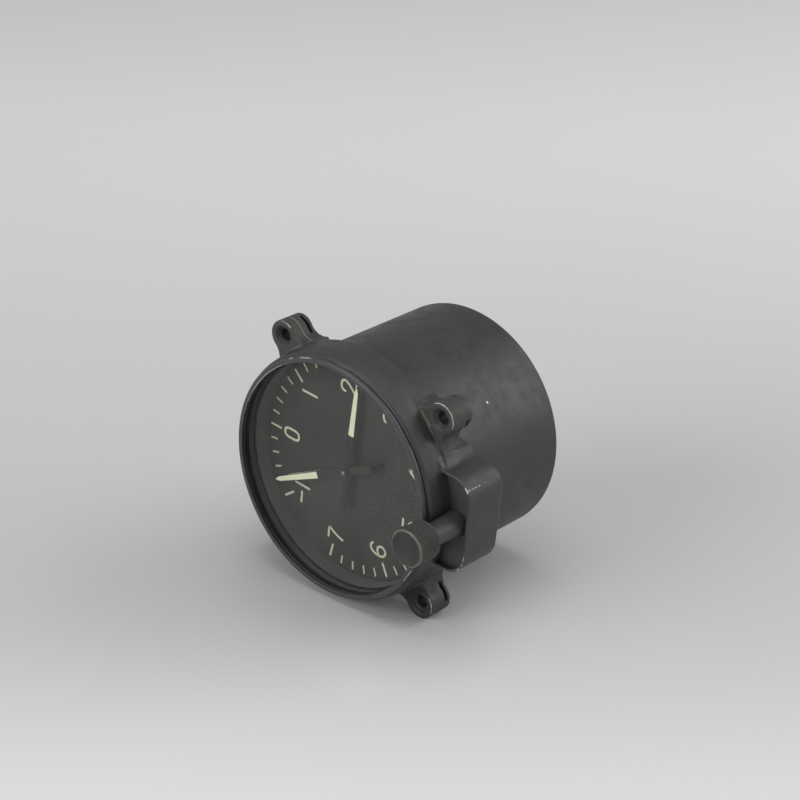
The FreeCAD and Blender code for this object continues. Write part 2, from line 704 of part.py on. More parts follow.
def rear_can():
    """Drawn can with a rounded rear edge, three screw holes and the lever's window."""
    inner = "can_radius - can_wall"
    body = turned("RearCan", (
        (inner, "seat_depth + gasket_thick"),
        ("can_radius", "seat_depth + gasket_thick"),
        ("can_radius", "can_back"),
        ("0", "can_back"),
        ("0", "can_back - can_floor"),
        (inner, "can_back - can_floor"),
    ))
    plain = body.Tip
    edge = rear_edge(body, size("can_radius"), size("can_back"))
    rim = body.newObject("PartDesign::Fillet", "CanRim")
    rim.Base = (plain, [edge])
    tie(rim, "Radius", "can_round")
    doc.recompute()
    holes = [polar("foot_circle", angle) + ("case_screw_radius + fit_gap",) for angle in REAR_POST_ANGLES]
    drilled(body, "CanHoles", holes)
    window = block(
        "CanWindow",
        ("housing_shift - window_half", "housing_shift + window_half"),
        ("lever_depth - side_play", "lever_depth + lever_thick + side_play"),
        ("0 - ring_radius", "0 - can_radius + can_wall * 3"),
    )
    return kept(cut("RearCanOpen", body, [window]), "rear_can")


def rear_edge(body, radius, depth):
    """Name of the round edge of a body at a radius and a depth."""
    for number, edge in enumerate(body.Shape.Edges, start=1):
        if isinstance(edge.Curve, Part.Circle) and abs(edge.Curve.Radius - radius) < 0.01:
            if abs(edge.Curve.Center.y - depth) < 0.01:
                return "Edge%d" % number
    raise RuntimeError("no round edge at radius %.2f and depth %.2f" % (radius, depth))


def case_screws():
    """Three screws through the can's floor into the rear posts, slotted twice as wide as the others."""
    solids = []
    back = size("can_back")
    head = size("case_head_thick")
    slot_half = size("screw_slot")
    radius = size("case_head_radius")
    for angle in REAR_POST_ANGLES:
        x, z = (size(text) for text in polar("foot_circle", angle))
        shank = disc(size("case_screw_radius"), back - size("can_floor + thread_length"), back, x, z)
        top = disc(radius, back, back + head, x, z)
        corner = Vector(x - radius, back + head / 2, z - slot_half)
        slot = Part.makeBox(2 * radius, head, 2 * slot_half, corner)
        solids.append(shank.fuse(top).cut(slot).removeSplitter())
    return shaped("case_screws", Part.makeCompound(solids))


def rear_posts():
    """Three posts that hang the movement from the can's floor."""
    front = size("rear_plate_depth + plate_thick")
    back = size("can_back - can_floor")
    solids = []
    for angle in REAR_POST_ANGLES:
        x, z = (size(text) for text in polar("foot_circle", angle))
        post = disc(size("post_radius"), front, back, x, z)
        bore = disc(size("case_screw_radius"), back - size("thread_length"), back, x, z)
        solids.append(post.cut(bore))
    return shaped("rear_posts", Part.makeCompound(solids))


def housing_cover():
    """Plate in the knob housing's mouth, bored for the bushing."""
    front = -size("cover_set")
    back = front + size("cover_thick")
    plate = housing_room(size("rim_wall + fit_gap"), front, back, size("ring_radius + fit_gap"))
    plate = plate.cut(disc(size("bushing_radius"), front - 1, back + 1, *knob_axis()))
    return shaped("housing_cover", plate)


def knob_bushing():
    """Bushing that carries the knob's shaft, flared where it meets the cover."""
    return shaped("knob_bushing", about_knob(bushing_corners(0), size("shaft_radius + fit_gap")))


def reset_knob():
    """Knob with a chamfered rim at both ends and a blind bore for its shaft."""
    front = -size("knob_front")
    back = front + size("knob_length")
    chamfer = size("knob_chamfer")
    radius = size("knob_radius")
    corners = (
        (radius - chamfer, front),
        (radius, front + chamfer),
        (radius, back - chamfer),
        (radius - chamfer, back),
    )
    knob = about_knob(corners, 0)
    bore = disc(size("shaft_radius"), back - size("knob_sink"), back + 1, *knob_axis())
    return shaped("reset_knob", knob.cut(bore))


def knob_shaft():
    """Shaft from the knob through the bushing to its bearing in the housing's rear wall."""
    front = "0 - knob_front + knob_length - knob_sink"
    back = "housing_back - housing_floor / 2"
    shaft = rod("ShaftRod", "shaft_radius", front, back, "housing_shift", "0 - knob_drop")
    return kept(alone("KnobShaft", shaft), "knob_shaft")


def shaft_clip():
    """Clip that keeps the shaft from being pulled out."""
    front = size("cover_thick - cover_set + end_play")
    x, z = knob_axis()
    clip = disc(size("clip_radius"), front, front + size("clip_thick"), x, z)
    return shaped("shaft_clip", clip.cut(disc(size("shaft_radius"), 0, size("housing_back"), x, z)))


def lever_axis():
    """X and Z of the reset lever's pin."""
    x, z = knob_axis()
    return x, z + size("reset_module * (knob_teeth + lever_teeth) / 2")


def knob_pinion():
    """Pinion on the knob's shaft, with a gap turned to the lever."""
    x, z = knob_axis()
    teeth = int(size("knob_teeth"))
    front = size("lever_depth - end_play")
    width = size("lever_thick + side_play")
    bore = size("shaft_radius")
    return shaped("knob_pinion", gear(teeth, size("reset_module"), bore, front, width, 180.0 / teeth, x, z))


def reset_lever():
    """Lever with a toothed sector below its pin and an arm up to the finger."""
    x, z = lever_axis()
    module = size("reset_module")
    teeth = int(size("lever_teeth"))
    front = size("lever_depth")
    thick = size("lever_thick")
    pitch = 360.0 / teeth
    side = int(size("lever_spread") / pitch)
    sector = [(x + px, z + pz) for px, pz in gear_points(teeth, module, 180 - side * pitch, 2 * side + 1)]
    blank = slab(at_depth([(x, z)] + sector, front), thick)
    finger = (-size("finger_side"), -size("finger_drop"))
    arm = bar((x, z), finger, size("lever_hub"), size("finger_radius * 2"), front, thick)
    hub = disc(size("lever_hub"), front, front + thick, x, z)
    tip = disc(size("finger_radius * 2"), front, front + thick, *finger)
    lever = blank.fuse([arm, hub, tip])
    holes = [
        disc(size("lever_pin_radius + fit_gap"), front - 1, front + thick + 1, x, z),
        disc(size("finger_radius"), front - 1, front + thick + 1, *finger),
    ]
    return shaped("reset_lever", lever.cut(holes))


def bar(start, end, start_half, end_half, depth, thick):
    """Straight tapering arm between two points of the dial plane."""
    along = unit(end[0] - start[0], end[1] - start[1])
    across = (-along[1], along[0])
    points = []
    for point, half in ((start, start_half), (end, end_half)):
        points.append((point[0] + across[0] * half, point[1] + across[1] * half))
    for point, half in ((end, end_half), (start, start_half)):
        points.append((point[0] - across[0] * half, point[1] - across[1] * half))
    return slab(at_depth(points, depth), thick)


def lever_finger():
    """Finger that pushes both pawls' tails."""
    front = size("low_ratchet_depth") - size("fit_gap")
    back = size("lever_depth + lever_thick")
    finger = disc(size("finger_radius"), front, back, -size("finger_side"), -size("finger_drop"))
    return shaped("lever_finger", finger)


def headed_pin(label, radius, front, back, x, z):
    """Pin seated in the front plate, with a head that keeps what turns on it."""
    pin = disc(radius, front, back, x, z)
    return shaped(label, pin.fuse(disc(radius * 1.6, front - radius / 2, front, x, z)))


def movement_pins():
    """Pins of the lever and of the pawls, both pressed into the front plate."""
    back = size("front_plate_depth + plate_thick")
    front = size("lever_depth") - size("end_play")
    lay(headed_pin("lever_pin", size("lever_pin_radius"), front, back, *lever_axis()))
    front = size("low_ratchet_depth") - size("end_play")
    pin = headed_pin("pawl_pin", size("pawl_pin_radius"), front, back, -size("pawl_side"), size("pawl_rise"))
    lay(pin)


def pawl(label, depth_name):
    """Pawl with an arm to its ratchet and a tail down to the lever's finger."""
    front = size(depth_name)
    thick = size("ratchet_thick")
    pivot = (-size("pawl_side"), size("pawl_rise"))
    reach = size("ratchet_radius + pawl_gap")
    distance = math.hypot(*pivot)
    turn = math.atan2(pivot[1], pivot[0]) + math.acos(reach / distance)
    tip = (reach * math.cos(turn), reach * math.sin(turn))
    outward = unit(*tip)
    half = size("pawl_bar / 2")
    heel = (tip[0] + outward[0] * 2 * half, tip[1] + outward[1] * 2 * half)
    along = unit(tip[0] - pivot[0], tip[1] - pivot[1])
    root = (pivot[0] + outward[0] * half, pivot[1] + outward[1] * half)
    inner = (pivot[0] - outward[0] * half, pivot[1] - outward[1] * half)
    neck = (tip[0] + (outward[0] - 2 * along[0]) * half, tip[1] + (outward[1] - 2 * along[1]) * half)
    arm = slab(at_depth([root, heel, tip, neck, inner], front), thick)
    tail = bar(pivot, (pivot[0], pivot[1] - size("pawl_tail")), 2 * half, half, front, thick)
    shape = arm.fuse([tail, disc(size("pawl_hub"), front, front + thick, *pivot)])
    shape = shape.cut(disc(size("pawl_pin_radius + fit_gap"), front - 1, front + thick + 1, *pivot))
    return shaped(label, shape)


def ratchet(label, depth_name, bore_name):
    """Fine-toothed wheel that holds a memory hand."""
    teeth = int(size("ratchet_teeth"))
    tip = size("ratchet_radius")
    root = tip - size("ratchet_tooth")
    points = []
    for tooth in range(teeth):
        for share, radius in ((0.0, tip), (0.15, root)):
            turn = 2 * math.pi * (tooth + share) / teeth
            points.append((radius * math.sin(turn), radius * math.cos(turn)))
    front = size(depth_name)
    thick = size("ratchet_thick")
    wheel = slab(at_depth(points, front), thick)
    return shaped(label, wheel.cut(disc(size(bore_name), front - 1, front + thick + 1)))


def hand(label, level, reach_name, tail_name, bore_name, angle_name):
    """Tapered hand with a hub and a square tail, turned to its reading."""
    front = size("dial_depth - hand_rise - hand_thick") - level * size("hand_pitch")
    thick = size("hand_thick")
    reach = size(reach_name)
    tail = size(tail_name)
    root = size("hand_root")
    tip = size("hand_tip")
    lit = size("main_tail")
    outline = [(-root, -tail), (-root, lit), (-tip, reach), (tip, reach), (root, lit), (root, -tail)]
    blade = slab(at_depth(outline, front), thick)
    hub = disc(size("hand_hub"), front, front + thick)
    blade = blade.fuse(hub).cut(disc(size(bore_name), front - 1, front + thick + 1)).removeSplitter()
    return shaped(label, turned_about_y(blade, size(angle_name)))


def hands():
    """Low, high and main hand, from the dial outwards, and the cap."""
    lay(hand("low_hand", 0, "memory_reach", "memory_tail", "min_tube", "low_angle"))
    lay(hand("high_hand", 1, "memory_reach", "memory_tail", "max_tube", "high_angle"))
    lay(hand("main_hand", 2, "main_reach", "main_tail", "staff_radius", "low_angle"))
    cap_back = size("dial_depth - hand_rise - hand_thick - hand_pitch * 2")
    cap = disc(size("cap_radius"), cap_back - size("cap_height"), cap_back)
    lay(shaped("hand_cap", cap.cut(disc(size("staff_radius"), cap_back - 2, cap_back + 1))))


def tube(label, outer, bore, front, back):
    """Plain tube on the centre line."""
    body = turned(label.title().replace("_", ""), (
        (bore, front),
        (outer, front),
        (outer, back),
        (bore, back),
    ))
    return kept(body, label)


def centre_line():
    """Staff and the two tubes on it, with the bushing in the front plate."""
    low_front = "dial_depth - hand_rise - hand_thick"
    staff_front = low_front + " - hand_pitch * 2 - cap_height + fit_gap"
    staff = rod("StaffRod", "staff_radius", staff_front, "bridge_depth + bridge_thick")
    kept(alone("CentreStaff", staff), "centre_staff")
    tube("high_tube", "max_tube", "staff_radius + fit_gap", low_front + " - hand_pitch",
         "high_ratchet_depth + ratchet_thick")
    tube("low_tube", "min_tube", "max_tube + fit_gap", low_front, "low_ratchet_depth + ratchet_thick")
    tube("centre_bushing", "centre_bush", "staff_radius + fit_gap", "front_plate_depth - side_play",
         "front_plate_depth + plate_thick + side_play")


def dial_plate():
    """Round dial with a centre hole."""
    body = turned("DialPlate", (
        ("dial_hole", "dial_depth"),
        ("dial_radius", "dial_depth"),
        ("dial_radius", "dial_depth + dial_thick"),
        ("dial_hole", "dial_depth + dial_thick"),
    ))
    return kept(body, "dial_plate")


def dial_feet():
    """Three feet between the dial and the front plate."""
    feet = []
    for number, angle in enumerate(DIAL_FOOT_ANGLES):
        across, along = polar("foot_circle", angle)
        front = "dial_depth + dial_thick"
        feet.append(rod("DialFoot%d" % number, "dial_foot", front, "front_plate_depth", across, along))
    return kept(joined("DialFeet", feet), "dial_feet")


def screw_circles(radius):
    """Holes of the pillar screws as centre and radius expressions."""
    return [polar("pillar_circle", angle) + (radius,) for angle in PILLAR_ANGLES]


def transfer_centre():
    """Distance of the transfer arbor from the centre staff, as an expression."""
    return "wheel_module * (wheel_teeth + centre_teeth) / 2"


def movement_plates():
    """Front and rear plates, bored for what turns in them."""
    plates = (
        ("front_plate", "front_plate_depth"),
        ("rear_plate", "rear_plate_depth"),
    )
    lever_x, lever_z = "housing_shift", "reset_module * (knob_teeth + lever_teeth) / 2 - knob_drop"
    for label, depth in plates:
        name = label.title().replace("_", "")
        body = turned(name, (
            ("0", depth),
            ("plate_radius", depth),
            ("plate_radius", depth + " + plate_thick"),
            ("0", depth + " + plate_thick"),
        ))
        circles = screw_circles("screw_radius + fit_gap")
        circles.append((transfer_centre(), "0", "arbor_radius + fit_gap"))
        if label == "front_plate":
            circles.append(("0", "0", "centre_bush"))
            circles.append((lever_x, lever_z, "lever_pin_radius"))
            circles.append(("0 - pawl_side", "pawl_rise", "pawl_pin_radius"))
        drilled(body, name + "Holes", circles)
        kept(body, label)


def plate_pillars():
    """Three pillars between the plates, bored at both ends."""
    front = size("front_plate_depth + plate_thick")
    back = size("rear_plate_depth")
    thread = size("thread_length")
    solids = []
    for angle in PILLAR_ANGLES:
        x, z = (size(text) for text in polar("pillar_circle", angle))
        pillar = disc(size("pillar_radius"), front, back, x, z)
        bores = [
            disc(size("screw_radius"), front, front + thread, x, z),
            disc(size("screw_radius"), back - thread, back, x, z),
        ]
        solids.append(pillar.cut(bores))
    return shaped("plate_pillars", Part.makeCompound(solids))


def slotted_screw(face, direction, shank, x, z):
    """Small cheese-head screw whose head stands on a face, pointing forwards or backwards."""
    radius = size("head_radius")
    head = size("head_thick")
    outer = face + direction * head
    body = disc(radius, min(face, outer), max(face, outer), x, z)
    tip = face - direction * shank
    body = body.fuse(disc(size("screw_radius"), min(face, tip), max(face, tip), x, z))
    slot_low = min(outer, outer - direction * head / 2)
    half = size("screw_slot / 2")
    slot = Part.makeBox(2 * radius, head / 2, 2 * half, Vector(x - radius, slot_low, z - half))
    return body.cut(slot).removeSplitter()


def plate_screws():
    """Six screws that hold both plates to the pillars."""
    shank = size("plate_thick + thread_length")
    front = size("front_plate_depth")
    back = size("rear_plate_depth + plate_thick")
    solids = []
    for angle in PILLAR_ANGLES:
        x, z = (size(text) for text in polar("pillar_circle", angle))
        solids.append(slotted_screw(front, -1, shank, x, z))
        solids.append(slotted_screw(back, 1, shank, x, z))
    return shaped("plate_screws", Part.makeCompound(solids))


def centre_bridge():
    """Bridge behind the wheel that holds the staff's rear pivot, its posts and screws."""
    plate = block(
        "BridgeBar",
        ("0 - bridge_half", "bridge_half"),
        ("bridge_depth", "bridge_depth + bridge_thick"),
        ("0 - bridge_reach", "bridge_reach"),
    )
    past = "bridge_depth + bridge_thick + 1"
    holes = [rod("StaffPivot", "staff_radius + fit_gap", "bridge_depth - 1", past)]
    posts = []
    screws = []
    shank = size("bridge_thick + thread_length")
    for number, side in enumerate(("", "0 - ")):
        height = side + "bridge_post_reach"
        hole = rod("BridgeHole%d" % number, "screw_radius + fit_gap", "bridge_depth - 1", past, "0", height)
        holes.append(hole)
        post = rod("BridgePost%d" % number, "bridge_post_radius", "front_plate_depth + plate_thick",
                   "bridge_depth", "0", height)
        thread = rod("BridgeThread%d" % number, "screw_radius", "bridge_depth - thread_length",
                     "bridge_depth + 1", "0", height)
        posts.append(cut("BoredPost%d" % number, post, [thread]))
        screws.append(slotted_screw(size("bridge_depth + bridge_thick"), 1, shank, 0, size(height)))
    kept(cut("CentreBridge", plate, holes), "centre_bridge")
    kept(joined("BridgePosts", posts), "bridge_posts")
    lay(shaped("bridge_screws", Part.makeCompound(screws)))


def weight_depth():
    """Depth of the weight's middle, as an expression."""
    return "weight_front + weight_length / 2"


def rod_pair(name, radius, bottom, top):
    """Two upright cylinders on the guide rods' lines."""
    return [
        upright_rod(name + "Right", radius, bottom, top, "rod_spread", weight_depth()),
        upright_rod(name + "Left", radius, bottom, top, "0 - rod_spread", weight_depth()),
    ]


def rod_beams():
    """Beams between the plates above and below the weight, with the guide rods in them."""
    plate_back = "front_plate_depth + plate_thick"
    seats = ("0 - beam_near - rod_sink", "beam_near + rod_sink")
    for label, low, high in (
        ("upper_beam", "beam_near", "beam_near + beam_thick"),
        ("lower_beam", "0 - beam_near - beam_thick", "0 - beam_near"),
    ):
        name = label.title().replace("_", "")
        width = ("0 - beam_half", "beam_half")
        bar_block = block(name + "Bar", width, (plate_back, "rear_plate_depth"), (low, high))
        kept(cut(name, bar_block, rod_pair(name + "Socket", "rod_radius", *seats)), label)
    kept(joined("GuideRods", rod_pair("GuideRod", "rod_radius", *seats)), "guide_rods")


def seismic_weight():
    """Weight that slides on the guide rods."""
    top = "weight_height"
    core = block(
        "WeightBlock",
        ("0 - weight_half", "weight_half"),
        ("weight_front", "weight_front + weight_length"),
        ("0 - " + top, top),
    )
    bores = rod_pair("WeightBore", "rod_radius + fit_gap", "0 - %s - 1" % top, top + " + 1")
    return kept(cut("SeismicWeight", core, bores), "seismic_weight")


def weight_springs():
    """Coil springs above and below the weight."""
    wire = size("spring_wire")
    radius = size("spring_radius")
    low = size("weight_height") + wire
    high = size("beam_near") - wire
    height = high - low
    helix = Part.makeHelix(height / size("spring_turns"), height, radius)
    section = Part.Wire([Part.makeCircle(wire, Vector(radius, 0, 0), Vector(0, 1, 0))])
    coil = Part.Wire(helix.Edges).makePipeShell([section], True, True)
    for label, start in (("upper_spring", low), ("lower_spring", -high)):
        spring = coil.copy()
        spring.translate(Vector(0, size(weight_depth()), start))
        lay(shaped(label, spring))


def weight_rack():
    """Rack on the weight's right side, with a gap at the pinion's height."""
    module = size("rack_module")
    pitch = math.pi * module
    line = size(transfer_centre()) - size("rack_module * rack_teeth / 2")
    back = size("weight_half")
    height = size("weight_height")
    count = int(height / pitch)
    points = [(back, -height)]
    points.append((line - 1.15 * module, -height))
    for tooth in range(-count, count):
        for share, rise in TOOTH:
            points.append((line + rise * module, (tooth + 0.5 + share) * pitch))
    points.append((line - 1.15 * module, height))
    points.append((back, height))
    return shaped("weight_rack", slab(at_depth(points, size("rack_front")), size("rack_width")))


def transfer_train():
    """Transfer arbor with its wheel and rack pinion, and the pinion on the centre staff."""
    centre = size(transfer_centre())
    arbor = rod("ArborRod", "arbor_radius", "front_plate_depth + end_play",
                "rear_plate_depth + plate_thick - end_play", transfer_centre())
    kept(alone("TransferArbor", arbor), "transfer_arbor")
    wheel_teeth = int(size("wheel_teeth"))
    module = size("wheel_module")
    front = size("wheel_depth")
    thick = size("wheel_thick")
    bore = size("arbor_radius")
    wheel = gear(wheel_teeth, module, bore, front, thick, 270.0, centre, 0)
    lay(shaped("transfer_wheel", wheel))
    rack_teeth = int(size("rack_teeth"))
    margin = size("side_play")
    pinion = gear(rack_teeth, size("rack_module"), bore, size("rack_front") - margin,
                  size("rack_width") + 2 * margin, 270.0, centre, 0)
    lay(shaped("rack_pinion", pinion))
    centre_teeth = int(size("centre_teeth"))
    start = 90.0 + 180.0 / centre_teeth
    lay(shaped("centre_pinion", gear(centre_teeth, module, size("staff_radius"), front - margin,
                                     thick + 2 * margin, start)))


def lay(item):
    """Lay a finished shape on its side under its own name."""
    return kept(item, item.Name)


def build():
    """Make every sub-part."""
    lay(front_casting())
    bezel_ring()
    glass_stack()
    rear_can()
    for item in (case_screws(), rear_posts(), captive_nuts(), housing_cover(), knob_bushing(), reset_knob()):
        lay(item)
    knob_shaft()
    for item in (shaft_clip(), knob_pinion(), reset_lever(), lever_finger()):
        lay(item)
    movement_pins()
    lay(pawl("low_pawl", "low_ratchet_depth"))
    lay(pawl("high_pawl", "high_ratchet_depth"))
    lay(ratchet("low_ratchet", "low_ratchet_depth", "min_tube"))
    lay(ratchet("high_ratchet", "high_ratchet_depth", "max_tube"))
    hands()
    centre_line()
    dial_plate()
    dial_feet()
    movement_plates()
    lay(plate_pillars())
    lay(plate_screws())
    centre_bridge()
    rod_beams()
    seismic_weight()
    weight_springs()
    lay(weight_rack())
    transfer_train()


def write_parts():
    """Check every object, then write each sub-part to its own file."""
    doc.recompute()
    for item in doc.Objects:
        if "Invalid" in item.State or "Error" in item.State:
            raise RuntimeError("%s failed: %s" % (item.Name, item.State))
    os.makedirs("parts", exist_ok=True)
    for item in SUBPARTS:
        if item.Shape.isNull() or not item.Shape.isValid():
            raise RuntimeError("%s has no valid shape" % item.Label)
    for item in SUBPARTS:
        item.Shape.exportStep("parts/%s.step" % item.Label)
    print("%d sub-parts written" % len(SUBPARTS))


build()
write_parts()
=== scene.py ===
"""Aircraft g-meter lying on its side: case, glass, dial, hands and reset knob.

Shapes are worked out in the dial's own millimetres, x to the dial's right, y back into the
case and z to the dial's top, from the centre of the lugs' front faces. lay() turns them to
the row frame in metres.
"""

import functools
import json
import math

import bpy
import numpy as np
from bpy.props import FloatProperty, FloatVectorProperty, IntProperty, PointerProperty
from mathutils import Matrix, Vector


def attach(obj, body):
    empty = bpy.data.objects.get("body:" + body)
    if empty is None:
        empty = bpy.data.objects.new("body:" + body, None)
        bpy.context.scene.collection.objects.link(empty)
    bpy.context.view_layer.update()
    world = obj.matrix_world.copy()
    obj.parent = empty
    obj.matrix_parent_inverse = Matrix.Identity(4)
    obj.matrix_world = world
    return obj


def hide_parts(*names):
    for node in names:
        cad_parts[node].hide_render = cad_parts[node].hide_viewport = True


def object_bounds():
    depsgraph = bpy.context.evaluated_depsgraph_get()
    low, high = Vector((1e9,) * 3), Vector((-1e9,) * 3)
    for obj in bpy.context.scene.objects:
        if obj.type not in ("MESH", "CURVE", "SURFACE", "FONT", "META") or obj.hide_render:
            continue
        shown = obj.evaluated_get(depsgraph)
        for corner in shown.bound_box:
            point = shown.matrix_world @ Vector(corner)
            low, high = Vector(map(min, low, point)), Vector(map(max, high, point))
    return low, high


bl_info = {
    "name": "Aircraft g-meter",
    "version": (1, 0, 0),
    "blender": (4, 5, 0),
    "location": "3D View > Sidebar > G-meter",
    "description": "Builds a round-dial accelerometer with its case, dial, hands and knob",
    "category": "Add Mesh",
}

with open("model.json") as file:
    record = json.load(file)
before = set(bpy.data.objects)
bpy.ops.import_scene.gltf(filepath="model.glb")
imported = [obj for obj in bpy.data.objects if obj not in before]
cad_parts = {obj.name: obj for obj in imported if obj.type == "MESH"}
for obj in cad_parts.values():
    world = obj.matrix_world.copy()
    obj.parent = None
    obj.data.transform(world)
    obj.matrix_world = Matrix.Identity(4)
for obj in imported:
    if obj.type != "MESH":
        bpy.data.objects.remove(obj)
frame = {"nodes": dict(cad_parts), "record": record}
CAD_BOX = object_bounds()

LIE_ANGLE = math.radians(83.6)
MILLIMETRE = 0.001

# Case
LUG_CIRCLE = 44.45
LUG_RADIUS = 4.9
LUG_FLARE = 5.0
LUG_BACK = 8.4
LUG_HOLE = 1.9
SEAT_RADIUS = 3.3
SEAT_SLOPE = 0.9
SLOT_HALF = 3.0
SLOT_REACH = 7.0
SLOT_MIDDLE = 6.7
SLOT_HALF_THICK = 0.55
RING_RADIUS = 39.2
RING_BACK = 3.7
SHOULDER_FRONT = -8.2
TAPER = ((-8.2, -7.6, -3.6), (37.9, 38.6, 39.2))
NOSE_RADIUS = 37.35
NOSE_FRONT = -9.1
GLASS_BORE = 36.75
CASE_BORE = 35.9
CAN_BORE = 36.45
CAN_RADIUS = 36.4
CAN_FRONT = 2.0
CAN_BACK = 52.7
HOUSING_X = 1.8
HOUSING_HALF = 15.8
HOUSING_REACH = 47.3
HOUSING_TOP = -26.0
HOUSING_CORNER = 7.0
HOUSING_FLARE = 4.5
HOUSING_FRONT = -2.1
HOUSING_BACK = 12.7
COVER_BACK = 1.1
KNOB_AXIS = (1.8, -41.4)
BEARING_RADIUS = 1.55
WEB_BACK = 12.2
WEB_DROP = 2.7
CAN_INSIDE = 35.4
CAN_FLOOR = 1.2
BEZEL_BORE = 36.25
BEZEL_RADIUS = 37.85
BEZEL_FRONT = -9.9
KEEPER_BORE = 36.15
KEEPER_FRONT = -9.0
KEEPER_BACK = -7.0
# Glass
GLOSS_SHARE = 0.30
# Dial
DIAL_FACE = 1.0
DEGREES_PER_G = 40.0
LOW_READING = -29.4
HIGH_READING = 92.0


class GMeterSizes(bpy.types.PropertyGroup):
    """Sizes in millimetres that may be changed without touching the frame."""
    cell: FloatProperty(name="Casting cell", description="Grid step of the casting's skin", default=0.4)
    knurl_count: IntProperty(name="Knurls", description="Knurl teeth round the knob", default=46)
    knurl_depth: FloatProperty(name="Knurl depth", description="Depth of the diamond knurl", default=0.26)
    stroke: FloatProperty(name="Stroke", description="Width of figures and long marks", default=0.75)
    thin_stroke: FloatProperty(name="Thin stroke", description="Width of the short marks", default=0.58)
    figure_height: FloatProperty(name="Figure height", description="Height of the figures", default=5.8)


class GMeterColours(bpy.types.PropertyGroup):
    """Colours of the finishes, as linear values."""
    enamel: FloatVectorProperty(name="Enamel", description="Case enamel", subtype="COLOR",
                                default=(0.036, 0.036, 0.0375), min=0, max=1)
    dial: FloatVectorProperty(name="Dial", description="Dial paint", subtype="COLOR",
                              default=(0.029, 0.0293, 0.0288), min=0, max=1)
    lume: FloatVectorProperty(name="Luminous paint", description="Marks, figures and hands", subtype="COLOR",
                              default=(0.84, 0.86, 0.62), min=0, max=1)
    dirt: FloatVectorProperty(name="Dirt", description="Dust and grime in corners", subtype="COLOR",
                              default=(0.046, 0.040, 0.028), min=0, max=1)
    floor: FloatVectorProperty(name="Floor", description="Floor and backdrop", subtype="COLOR",
                               default=(0.72, 0.72, 0.727), min=0, max=1)


def sizes():
    """The size settings of the scene."""
    return bpy.context.scene.gmeter_sizes


def colours():
    """The colour settings of the scene."""
    return bpy.context.scene.gmeter_colours


# Geometry

def lay(points):
    """Dial millimetres to row-frame metres: a turn about Y by the lie angle, then a change of unit."""
    x, y, z = np.asarray(points, float).T
    c, s = math.cos(LIE_ANGLE), math.sin(LIE_ANGLE)
    return np.stack((x * c - z * s, y, x * s + z * c), 1) * MILLIMETRE


def facing_out(points, faces):
    """Faces turned so that the closed shape's signed volume, the sum of corner determinants, is positive."""
    volume = 0.0
    for group in faces:
        a, b, c = (points[group[:, i]] for i in range(3))
        volume += np.einsum("ij,ij->", a, np.cross(b, c))
        if group.shape[1] == 4:
            d = points[group[:, 3]]
            volume += np.einsum("ij,ij->", a, np.cross(c, d))
    return faces if volume > 0 else [group[:, ::-1] for group in faces]


def merged(parts):
    """Several (points, faces, values) shapes as one."""
    points, faces, values, start = [], [], {}, 0
    for shape in parts:
        points.append(shape[0])
        faces += [group + start for group in shape[1]]
        for key, column in shape[2].items():
            values.setdefault(key, []).append(column)
        start += len(shape[0])
    return np.concatenate(points), faces, {key: np.concatenate(columns) for key, columns in values.items()}


def add_piece(name, body, material, shape, hides=(), sharp=40.0):
    """Mesh piece from (points, faces, values): lists of triangle and quad rows, and point attributes."""
    points, faces, values = shape
    mesh = bpy.data.meshes.new(name)
    row = lay(points)
    mesh.vertices.add(len(row))
    mesh.vertices.foreach_set("co", row.astype(np.float32).ravel())
    corners = np.concatenate([group.ravel() for group in faces])
    counts = np.concatenate([np.full(len(group), group.shape[1]) for group in faces])
    mesh.loops.add(len(corners))
    mesh.loops.foreach_set("vertex_index", corners.astype(np.int32))
    mesh.polygons.add(len(counts))
    mesh.polygons.foreach_set("loop_start", (np.cumsum(counts) - counts).astype(np.int32))
    mesh.update(calc_edges=True)
    mesh.validate()
    for key, column in values.items():
        layer = mesh.attributes.new(key, "FLOAT", "POINT")
        layer.data.foreach_set("value", np.asarray(column, np.float32))
    mesh.shade_smooth()
    mesh.set_sharp_from_angle(angle=math.radians(sharp))
    mesh.materials.append(material)
    piece = bpy.data.objects.new(name, mesh)
    bpy.context.scene.collection.objects.link(piece)
    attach(piece, body)
    if hides:
        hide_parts(*hides)
    return piece


def softened(corners, steps=4):
    """Outline with rounded corners. Each corner is (radius, depth, rounding, wear); a rounding is an arc
    that touches both sides, and wear fades to nothing a little past each end of the arc."""
    line, wear = [], []
    count = len(corners)
    for i, (r, y, rounding, worn) in enumerate(corners):
        here = np.array((r, y))
        before = np.array(corners[i - 1][:2]) - here
        after = np.array(corners[(i + 1) % count][:2]) - here
        reach = (np.linalg.norm(before), np.linalg.norm(after))
        if rounding == 0 or min(reach) == 0:
            line.append(here)
            wear.append(worn)
            continue
        a, b = before / reach[0], after / reach[1]
        half = math.acos(np.clip(a @ b, -1, 1)) / 2
        cut = min(rounding / math.tan(half), 0.49 * min(reach))
        radius = cut * math.tan(half)
        centre = here + (a + b) / np.linalg.norm(a + b) * radius / math.sin(half)
        first, last = here + a * cut - centre, here + b * cut - centre
        sweep = math.pi - 2 * half
        t = np.linspace(0, 1, steps + 1)[:, None]
        arc = (np.sin((1 - t) * sweep) * first + np.sin(t * sweep) * last) / math.sin(sweep)
        fade = min(0.45, 0.49 * min(reach) - cut)
        if fade > 0.02:
            line.append(here + a * (cut + fade))
            wear.append(0.0)
        line += list(centre + arc)
        wear += [worn * 0.7] + [worn] * (steps - 1) + [worn * 0.7]
        if fade > 0.02:
            line.append(here + b * (cut + fade))
            wear.append(0.0)
    return np.array(line), np.array(wear)


